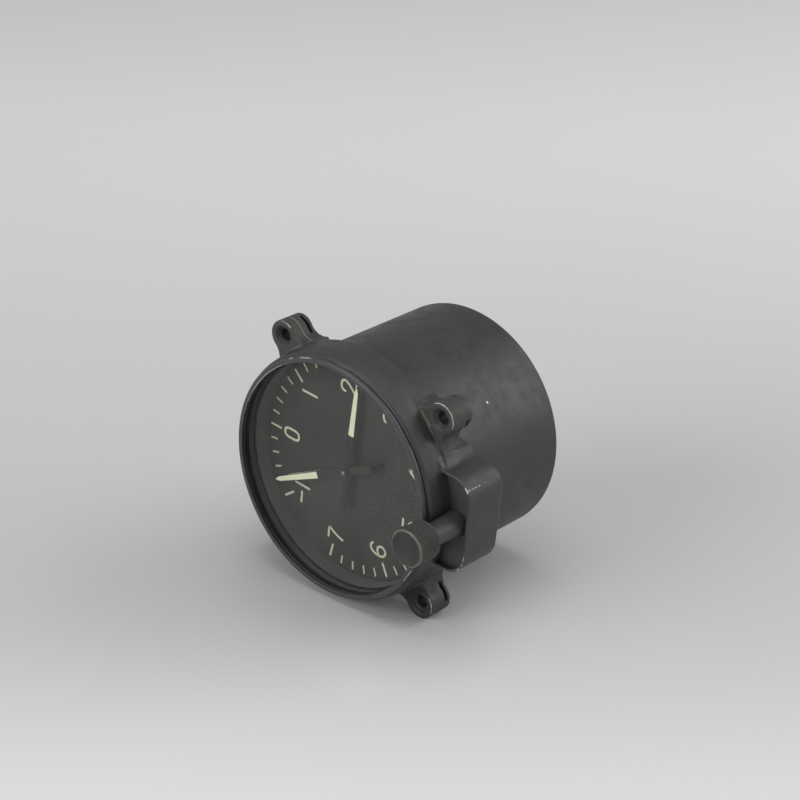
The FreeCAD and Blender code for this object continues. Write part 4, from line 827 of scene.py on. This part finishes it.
def enamel(name, wear=1.0, roughness=0.46, tone=1.0, chip=None):
    """Dark stove enamel over alloy: faintly mottled, fine orange-peel, edges barely burnished, bright metal
    where the bare attribute says it is rubbed through or round a chip, or where the bezel's inner lip has a
    painted highlight, brown grime round the lugs with lathe rings on their faces, pale dust in the creases
    and a few specks. It also paints a pale line on the ring's rear edge that is partly a painted highlight,
    painted shade on the lowest lug's face, and painted light on the bore wall and in the knob recess."""
    f = Finish(name)
    base = shade(colours().enamel, tone)
    colour = f.blend(f.between(f.noise(60.0, 5.0, 0.6), 0.3, 0.7), shade(base, 0.86), shade(base, 1.16))
    colour = f.blend(f.between(f.noise(260.0, 4.0, 0.6), 0.5, 0.8, 0.0, 0.5), colour, shade(base, 1.35))
    specks = f.between(f.noise(2100.0, 2.0, 0.5), 0.70, 0.78, 0.0, 0.22)
    colour = f.blend(specks, colour, (0.16, 0.155, 0.14))
    smear = f.between(f.noise(190.0, 6.0, 0.7), 0.36, 0.62)
    soil = f.times(f.times(f.mark("grime"), smear), 0.85)
    colour = f.blend(soil, colour, tuple(colours().dirt))
    rings = f.between(f.maths("SINE", f.times(f.mark("lathe"), 9.5)), -1.0, 1.0)
    ringed = f.times(rings, f.mark("grime"))
    colour = f.blend(f.times(ringed, 0.22), colour, shade(base, 2.0))
    dust = f.times(f.between(f.mark("hollow"), 0.35, 0.95),
                   f.between(f.noise(150.0, 5.0, 0.7), 0.40, 0.66, 0.12, 0.8))
    colour = f.blend(dust, colour, (0.150, 0.140, 0.112))
    burnish = f.times(f.mark("edge"), f.between(f.noise(90.0, 4.0), 0.35, 0.75, 0.04, 0.40))
    colour = f.blend(burnish, colour, shade(base, 2.6))
    chips = f.times(f.noise(1500.0, 4.0, 0.7), 0.9)
    bare = f.plus(f.times(f.mark("bare"), wear), f.times(f.minus(chips, 0.45), 1.9))
    bare = f.between(bare, 0.56, 0.78)
    height = f.times(f.node("ShaderNodeSeparateXYZ", {"Vector": f.object}, 1), 1000.0)
    wander = f.times(f.minus(f.noise(1100.0, 3.0), 0.5), 0.3)
    out = f.maths("POWER", f.minus(f.mark("lathe"), 4.8), 2.0)
    down = f.maths("POWER", f.minus(height, 0.1), 2.0)
    away = f.plus(f.maths("SQRT", f.plus(out, down)), wander)
    extent = f.plus(f.mark("rim"), f.times(f.minus(f.noise(380.0, 4.0), 0.5), 1.2))
    extent = f.between(extent, 0.42, 0.62)
    bare = f.maths("MAXIMUM", bare, f.times(f.between(away, 0.07, 0.18, 1.0, 0.0), extent))
    # Partly painted highlight: a pale, patchy line along the ring's rear edge over its upper side, partly
    # worn paint.
    along = f.maths("ABSOLUTE", f.minus(height, 3.62))
    seam_wear_and_sheen = f.times(f.between(along, 0.06, 0.20, 1.0, 0.0), f.mark("seam_wear_and_sheen"))
    seam_wear_and_sheen = f.times(seam_wear_and_sheen, f.between(f.noise(200.0, 4.0), 0.32, 0.56, 0.3, 0.95))
    colour = f.blend(seam_wear_and_sheen, colour, (0.25, 0.24, 0.22))
    # Painted shade: the lowest lug's front face is darkened nearly to black.
    colour = f.blend(f.times(f.mark("low_lug_shade"), 0.75), colour, (0.009, 0.0085, 0.007))
    # Painted light: the shaded bore wall is painted pale so that it reads as lit as the dial.
    colour = f.blend(f.times(f.mark("bore"), 0.85), colour, (0.13, 0.13, 0.127))
    # Partly painted light: the recess gets a lighter brownish tone, partly its own colour and partly lifting
    # the hollow's shade.
    colour = f.blend(f.times(f.mark("recess"), 0.8), colour, (0.062, 0.057, 0.048))
    if chip:
        spot = tuple(lay([chip])[0])
        away = f.plus(f.node("ShaderNodeVectorMath", {0: f.object, 1: spot}, 1, operation="DISTANCE"),
                       f.times(f.noise(2500.0, 2.0), 0.0006))
        bare = f.maths("MAXIMUM", bare, f.between(away, 0.00055, 0.00085, 1.0, 0.0))
    colour = f.blend(bare, colour, (0.50, 0.49, 0.46))
    rough = f.between(f.noise(240.0, 4.0), 0.3, 0.7, roughness - 0.06, roughness + 0.09)
    rough = f.plus(rough, f.times(soil, 0.25))
    peel = f.plus(f.times(f.noise(1500.0, 3.0), 0.4), f.times(f.noise(260.0, 2.0), 0.8))
    peel = f.plus(peel, f.times(ringed, 0.7))
    return f.surface(Base_Color=colour, Metallic=f.times(bare, 0.6), Roughness=rough,
                     Normal=f.bump(peel, 0.25, 0.00014))


def plain(name, colour, roughness, metallic=0.0, variation=0.3, grain=900.0, relief=0.15, **more):
    """Evenly finished surface with a mottled colour and fine relief."""
    f = Finish(name)
    cloud = f.noise(grain * 0.12, 4.0)
    tint = f.blend(f.between(cloud, 0.3, 0.7), shade(colour, 1 - variation), shade(colour, 1 + variation))
    rough = f.between(f.noise(grain * 0.4, 3.0), 0.3, 0.7, roughness - 0.05, roughness + 0.07)
    return f.surface(Base_Color=tint, Metallic=metallic, Roughness=rough,
                     Normal=f.bump(f.noise(grain, 3.0), relief, 0.00008), **more)


def dial_paint():
    """Matt dial paint: near-black with faint cloud, dust specks and a few fibres."""
    f = Finish("dial_paint")
    base = tuple(colours().dial)
    colour = f.blend(f.between(f.noise(48.0, 5.0), 0.3, 0.7), shade(base, 0.85), shade(base, 1.3))
    specks = f.between(f.noise(1700.0, 2.0), 0.80, 0.86, 0.0, 0.45)
    colour = f.blend(specks, colour, (0.16, 0.165, 0.15))
    fibre = f.noise(240.0, 1.0, 0.4, stretch=(1.0, 1.0, 6.0), distortion=1.5)
    colour = f.blend(f.between(fibre, 0.84, 0.88, 0.0, 0.3), colour, (0.12, 0.12, 0.11))
    return f.surface(Base_Color=colour, Roughness=0.85, Specular_IOR_Level=0.3)


def luminous(name, tone=1.0):
    """Luminous paint: pale green cream, chalky, slightly stained and cracked."""
    f = Finish(name)
    base = shade(colours().lume, tone)
    colour = f.blend(f.between(f.noise(330.0, 5.0), 0.3, 0.72), base, shade(base, 0.93))
    grain = f.noise(3200.0, 3.0)
    colour = f.blend(f.between(grain, 0.58, 0.75, 0.0, 0.22), colour, (0.34, 0.33, 0.21))
    return f.surface(Base_Color=colour, Roughness=0.72, Normal=f.bump(grain, 0.35, 0.00009))


def knob_metal():
    """Blackened brass: dark coating, a little paler on the knurl's crests, brass along both rims."""
    f = Finish("knob_finish")
    edge = f.mark("edge")
    colour = f.blend(f.between(f.noise(300.0, 4.0), 0.3, 0.7), (0.015, 0.015, 0.015), (0.022, 0.022, 0.021))
    crest = f.times(edge, f.between(f.noise(180.0, 3.0), 0.25, 0.75, 0.5, 1.0))
    colour = f.blend(f.between(crest, 0.05, 0.55, 0.0, 0.85), colour, (0.092, 0.088, 0.076))
    rub = f.plus(edge, f.times(f.minus(f.noise(420.0, 4.0), 0.5), 0.7))
    bare = f.between(rub, 0.72, 1.0)
    colour = f.blend(f.times(bare, 0.8), colour, (0.20, 0.18, 0.135))
    rough = f.between(f.noise(500.0, 3.0), 0.3, 0.7, 0.42, 0.55)
    return f.surface(Base_Color=colour, Metallic=f.times(bare, 0.5), Roughness=rough,
                     Normal=f.bump(f.noise(1800.0, 3.0), 0.12, 0.00008))


def clear_glass():
    """Thin clear glass: rays go straight through, and a fixed part of what Fresnel's law turns back shines in
    a clean gloss; a faint film of dust lies over both."""
    f = Finish("glass_finish")
    through = f.node("ShaderNodeBsdfTransparent", {"Color": (0.95, 0.96, 0.95, 1.0)})
    gloss = f.node("ShaderNodeBsdfGlossy", {"Color": (1.0, 1.0, 1.0, 1.0), "Roughness": 0.03})
    front = f.minus(1.0, f.node("ShaderNodeNewGeometry", {}, "Backfacing"))
    share = f.times(f.times(f.node("ShaderNodeFresnel", {"IOR": 1.5}), front), GLOSS_SHARE)
    pane = f.node("ShaderNodeMixShader", {0: share, 1: through, 2: gloss})
    film = f.node("ShaderNodeBsdfDiffuse", {"Color": (0.50, 0.53, 0.48, 1.0)})
    haze = f.between(f.noise(38.0, 4.0), 0.3, 0.7, 0.030, 0.050)
    dusty = f.node("ShaderNodeMixShader", {0: haze, 1: pane, 2: film})
    f.tree.links.new(dusty, f.output.inputs["Surface"])
    return f.material


def node_finishes():
    """A finish for every CAD node, by the record's slot."""
    table = {
        "case_paint": enamel("case_enamel", chip=(25.0, 27.4, -26.45)),
        "bezel_paint": enamel("bezel_enamel", roughness=0.36, tone=1.25),
        "keeper_black": plain("keeper_finish", (0.018, 0.018, 0.018), 0.5),
        "seal_rubber": plain("rubber_finish", (0.015, 0.015, 0.015), 0.8),
        # Painted light: the housing's enamel is a lighter copy (tone 1.3) of the case enamel, which lifts the
        # shade in the knob recess.
        "housing_black": enamel("housing_enamel_lit", roughness=0.42, tone=1.3),
        "knob_metal": knob_metal(),
        "dial_black": dial_paint(),
        "hand_paint": plain("hand_black", (0.019, 0.019, 0.0185), 0.8, Specular_IOR_Level=0.25),
        "nut_steel": plain("nut_finish", (0.20, 0.185, 0.16), 0.42, 1.0),
        "shaft_steel": plain("shaft_finish", (0.42, 0.41, 0.39), 0.3, 1.0, 0.15, 1500.0),
        "movement_brass": plain("brass_finish", (0.58, 0.42, 0.17), 0.32, 1.0, 0.15, 1500.0),
        "beam_alloy": plain("alloy_finish", (0.56, 0.56, 0.57), 0.36, 1.0, 0.1, 1300.0),
        "spring_steel": plain("spring_finish", (0.18, 0.20, 0.26), 0.3, 1.0),
        "clear_glass": clear_glass(),
    }
    slots = {part["node"]: part["material_slot"] for part in frame["record"]["subparts"]}
    for node, item in frame["nodes"].items():
        item.data.materials.clear()
        item.data.materials.append(table[slots[node]])


def finish_of(name):
    """A finish that node_finishes made."""
    return bpy.data.materials[name]


# Operators

class GMETER_OT_finishes(bpy.types.Operator):
    """Give every node of the frame its procedural finish"""
    bl_idname = "gmeter.finishes"
    bl_label = "Finishes"

    def execute(self, context):
        node_finishes()
        luminous("lume_marks", 0.88)
        luminous("lume_hands", 1.14)
        return {"FINISHED"}


class GMETER_OT_casting(bpy.types.Operator):
    """Build the front casting with its lugs and knob housing"""
    bl_idname = "gmeter.casting"
    bl_label = "Front casting"

    def execute(self, context):
        add_piece("casting_skin", "case", finish_of("case_enamel"), casting_shape(),
                  ("front_casting",), sharp=60)
        return {"FINISHED"}


class GMETER_OT_rims(bpy.types.Operator):
    """Build the bezel ring and the black keeper ring inside it"""
    bl_idname = "gmeter.rims"
    bl_label = "Bezel and keeper"

    def execute(self, context):
        bezel = turned((
            (BEZEL_BORE, -9.1, 0, 0), (BEZEL_BORE, BEZEL_FRONT, 0.12, 1.0),
            (BEZEL_RADIUS, BEZEL_FRONT, 0.55, 0.45), (BEZEL_RADIUS, -8.6, 0.15, 0.2),
            (37.4, -8.6, 0, 0), (37.4, -9.1, 0, 0)), 720, steps=6)
        points, _, marks = bezel
        x, y, z = points.T
        reading = np.degrees(np.arctan2(x, z))
        lip = np.clip((36.7 - np.hypot(x, z)) / 0.3, 0, 1) * np.clip((-9.5 - y) / 0.2, 0, 1)
        # Painted highlight: the inner lip is made bright metal, strongest near a reading of 40 degrees and
        # weaker near -10, where light glints on it; partly real wear.
        painted_lip_glint = 0.9 * np.exp(-((reading - 40) / 24) ** 2) + 0.32 * np.exp(-((reading + 10) / 50) ** 2)
        marks["bare"] = np.maximum(lip * painted_lip_glint, rubbed(points, (
            ((32.6, -9.7, 18.9), (33.1, -9.75, 18.0), 0.26, 1.2),
            ((34.6, -9.7, 14.8), (36.2, -9.7, 10.9), 0.26, 1.15),
            ((-14.0, -9.75, -34.8), (-18.3, -9.75, -32.7), 0.2, 1.2),
            ((-20.6, -9.3, -31.7), (-21.8, -9.3, -30.9), 0.2, 0.9),
            ((-4.9, -9.8, 37.2), (-6.4, -9.8, 37.0), 0.5, 0.45),
            ((-13.6, -9.8, 34.8), (-14.6, -9.8, 34.4), 0.5, 0.5),
            ((36.9, -9.6, 7.4), (37.4, -9.4, 3.0), 0.3, 0.45),
            ((37.2, -9.6, -5.2), (36.8, -9.5, -8.4), 0.3, 0.5))))
        add_piece("bezel_bead", "case", finish_of("bezel_enamel"), bezel, ("bezel_ring",))
        keeper = turned((
            (KEEPER_BORE, KEEPER_BACK, 0, 0), (36.7, KEEPER_BACK, 0, 0), (36.7, KEEPER_FRONT, 0, 0),
            (36.45, KEEPER_FRONT, 0, 0.2), (KEEPER_BORE, -8.7, 0, 0.2)), 256)
        add_piece("keeper_band", "case", finish_of("keeper_finish"), keeper,
                  ("glass_keeper_ring",))
        return {"FINISHED"}


class GMETER_OT_can(bpy.types.Operator):
    """Build the rear can"""
    bl_idname = "gmeter.can"
    bl_label = "Rear can"

    def execute(self, context):
        can = turned((
            (CAN_INSIDE, CAN_FRONT, 0, 0), (CAN_RADIUS, CAN_FRONT, 0, 0), (CAN_RADIUS, CAN_BACK, 1.2, 0.8),
            (0, CAN_BACK, 0, 0), (0, CAN_BACK - CAN_FLOOR, 0, 0),
            (CAN_INSIDE, CAN_BACK - CAN_FLOOR, 0.3, 0)), 256)
        can[2]["edge"] *= 0.5
        add_piece("can_shell", "case", finish_of("case_enamel"), can, ("rear_can",))
        return {"FINISHED"}


class GMETER_OT_knob(bpy.types.Operator):
    """Build the knurled reset knob and its bushing"""
    bl_idname = "gmeter.knob"
    bl_label = "Reset knob"

    def execute(self, context):
        add_piece("knob_knurled", "reset_knob", finish_of("knob_finish"), knurled_knob(),
                  ("reset_knob",), sharp=55)
        bushing = turned((
            (BEARING_RADIUS, -12.45, 0, 0), (3.1, -12.45, 0.3, 0.6), (3.9, -3.0, 2.0, 0),
            (4.3, -0.1, 0.2, 0.3), (3.1, -0.1, 0, 0), (3.1, COVER_BACK, 0, 0),
            (BEARING_RADIUS, COVER_BACK, 0, 0)), 96, KNOB_AXIS, 6)
        # The bushing wears the lighter housing enamel, painted light over the recess's shade.
        add_piece("bushing_tube", "case", finish_of("housing_enamel_lit"), bushing,
                  ("knob_bushing",))
        return {"FINISHED"}


class GMETER_OT_dial(bpy.types.Operator):
    """Paint the dial's marks and figures"""
    bl_idname = "gmeter.dial"
    bl_label = "Dial marks and figures"

    def execute(self, context):
        add_piece("dial_ticks", "case", finish_of("lume_marks"), ticks())
        add_piece("dial_figures", "case", finish_of("lume_marks"), figures())
        return {"FINISHED"}


class GMETER_OT_hands(bpy.types.Operator):
    """Build the three hands, each with its hub and luminous wedge"""
    bl_idname = "gmeter.hands"
    bl_label = "Hands"

    def execute(self, context):
        rows = (
            ("main_hand", "main_hand", LOW_READING, -2.4, 12.3, 31.8, 0.6),
            ("high_hand", "high_hand", HIGH_READING, -1.5, 13.4, 29.0, 1.05),
            ("low_hand", "low_hand", LOW_READING, -0.6, 13.4, 29.0, 1.6),
        )
        for body, node, reading, back, tail, reach, bore in rows:
            stem = blade(((-tail, 1.35), (-2.6, 1.25), (2.6, 1.25), (12.2, 1.35),
                          (reach - 2.0, 0.85), (reach, 0.12)), reading, back, 0.3, 0.04)
            boss = hub(2.6, bore, back, 0.36)
            add_piece(body + "_blade", body, finish_of("hand_black"),
                      merged((stem, boss)), (node,))
            wedge = blade(((12.3, 1.05), (reach - 2.1, 0.72), (reach - 0.25, 0.08)),
                          reading, back - 0.3, 0.08, 0.05)
            add_piece(body + "_lume", body, finish_of("lume_hands"), wedge)
        return {"FINISHED"}


class GMETER_OT_stage(bpy.types.Operator):
    """Lay the pale floor and backdrop, with painted shade round the object and painted light towards the
    camera and up the backdrop, light them softly and set the camera
    """
    bl_idname = "gmeter.stage"
    bl_label = "Floor, lights and camera"

    def execute(self, context):
        floor_level = CAD_BOX[0][2] - 0.0002
        depth, bend = 1.4, 0.6
        arc = np.linspace(0, math.pi / 2, 12)[1:]
        run = np.concatenate((np.linspace(-3.0, depth, 8), depth + bend * np.sin(arc), (depth + bend,)))
        height = np.concatenate((np.zeros(8), bend * (1 - np.cos(arc)), (3.0,)))
        side = np.linspace(-3.5, 3.5, 2)
        turn = math.radians(42.3)
        forward = np.array((-math.sin(turn), math.cos(turn)))
        right = np.array((math.cos(turn), math.sin(turn)))
        grid = np.array([[(*(forward * a + right * s), floor_level + h) for s in side]
                         for a, h in zip(run, height)])
        mesh = bpy.data.meshes.new("floor")
        index = np.arange(len(run) * 2).reshape(-1, 2)
        quads = np.stack((index[:-1, 0], index[:-1, 1], index[1:, 1], index[1:, 0]), 1)
        mesh.from_pydata(grid.reshape(-1, 3).tolist(), [], quads.tolist())
        mesh.shade_smooth()
        floor = bpy.data.objects.new("floor", mesh)
        context.scene.collection.objects.link(floor)
        f = Finish("floor_paper")
        tint = tuple(colours().floor)
        paper = f.blend(f.between(f.noise(3.0, 2.0), 0.3, 0.7), shade(tint, 0.985), shade(tint, 1.015))
        way_back = (forward[0], forward[1], 0.0)
        ahead = f.node("ShaderNodeVectorMath", {0: f.object, 1: way_back}, 1, operation="DOT_PRODUCT")
        # Painted shade and light: the floor is darker round the object and paler towards the camera and up
        # the backdrop.
        painted_light_white, painted_shade_grey = (0.95, 0.95, 0.955), (0.1, 0.1, 0.1)
        paper = f.blend(f.between(ahead, 0.05, 0.50), f.blend(0.17, paper, painted_shade_grey), f.blend(0.5, paper, painted_light_white))
        paper = f.blend(f.between(ahead, -0.15, -0.01, 0.6, 0.0), paper, painted_light_white)
        f.surface(Base_Color=paper, Roughness=0.9)
        mesh.materials.append(f.material)

        world = bpy.data.worlds.new("studio")
        context.scene.world = world
        world.use_nodes = True
        world.node_tree.nodes["Background"].inputs["Color"].default_value = (0.80, 0.81, 0.83, 1.0)
        world.node_tree.nodes["Background"].inputs["Strength"].default_value = 0.32

        lamps = (
            ("top_softbox", (0.0, 0.0, 1.20), (0, 0.0, 0), 0.9, 4.5),
            ("back_softbox", (0.72, 0.80, 0.60), (0, 0.02, 0), 1.05, 7.5),
            ("front_softbox", (-0.35, -1.10, 0.45), (0, 0, 0), 0.9, 9.0),
        )
        for name, place, target, width, power in lamps:
            light = bpy.data.lights.new(name, "AREA")
            light.size = width
            light.energy = power
            lamp = bpy.data.objects.new(name, light)
            context.scene.collection.objects.link(lamp)
            lamp.location = place
            way = np.array(target) - np.array(place)
            lamp.rotation_mode = "QUATERNION"
            lamp.rotation_quaternion = Vector(way.tolist()).to_track_quat("-Z", "Y")

        lens = bpy.data.cameras.new("camera")
        lens.lens = 99.0
        lens.sensor_width = 36.0
        lens.clip_start = 0.01
        lens.clip_end = 50.0
        camera = bpy.data.objects.new("camera", lens)
        context.scene.collection.objects.link(camera)
        camera.location = (0.401309, -0.422567, 0.294098)
        camera.rotation_euler = tuple(math.radians(a) for a in (65.0296, -0.4469, 42.3138))
        context.scene.camera = camera
        context.scene.view_settings.view_transform = "Standard"
        return {"FINISHED"}


class GMETER_PT_panel(bpy.types.Panel):
    """Sidebar panel that lists the g-meter's pieces"""
    bl_label = "G-meter"
    bl_idname = "GMETER_PT_panel"
    bl_space_type = "VIEW_3D"
    bl_region_type = "UI"
    bl_category = "G-meter"

    def draw(self, context):
        for group in (context.scene.gmeter_sizes, context.scene.gmeter_colours):
            for key in group.__annotations__:
                self.layout.prop(group, key)
        for step in STEPS:
            self.layout.operator(step.bl_idname)


STEPS = (GMETER_OT_finishes, GMETER_OT_casting, GMETER_OT_rims, GMETER_OT_can, GMETER_OT_knob, GMETER_OT_dial,
         GMETER_OT_hands, GMETER_OT_stage)
CLASSES = (GMeterSizes, GMeterColours) + STEPS + (GMETER_PT_panel,)


def register():
    for item in CLASSES:
        bpy.utils.register_class(item)
    bpy.types.Scene.gmeter_sizes = PointerProperty(type=GMeterSizes)
    bpy.types.Scene.gmeter_colours = PointerProperty(type=GMeterColours)


def unregister():
    del bpy.types.Scene.gmeter_sizes
    del bpy.types.Scene.gmeter_colours
    for item in reversed(CLASSES):
        bpy.utils.unregister_class(item)


def main():
    """Build every piece in order."""
    register()
    bpy.ops.gmeter.finishes()
    bpy.ops.gmeter.casting()
    bpy.ops.gmeter.rims()
    bpy.ops.gmeter.can()
    bpy.ops.gmeter.knob()
    bpy.ops.gmeter.dial()
    bpy.ops.gmeter.hands()
    bpy.ops.gmeter.stage()


if __name__ == "__main__":
    main()
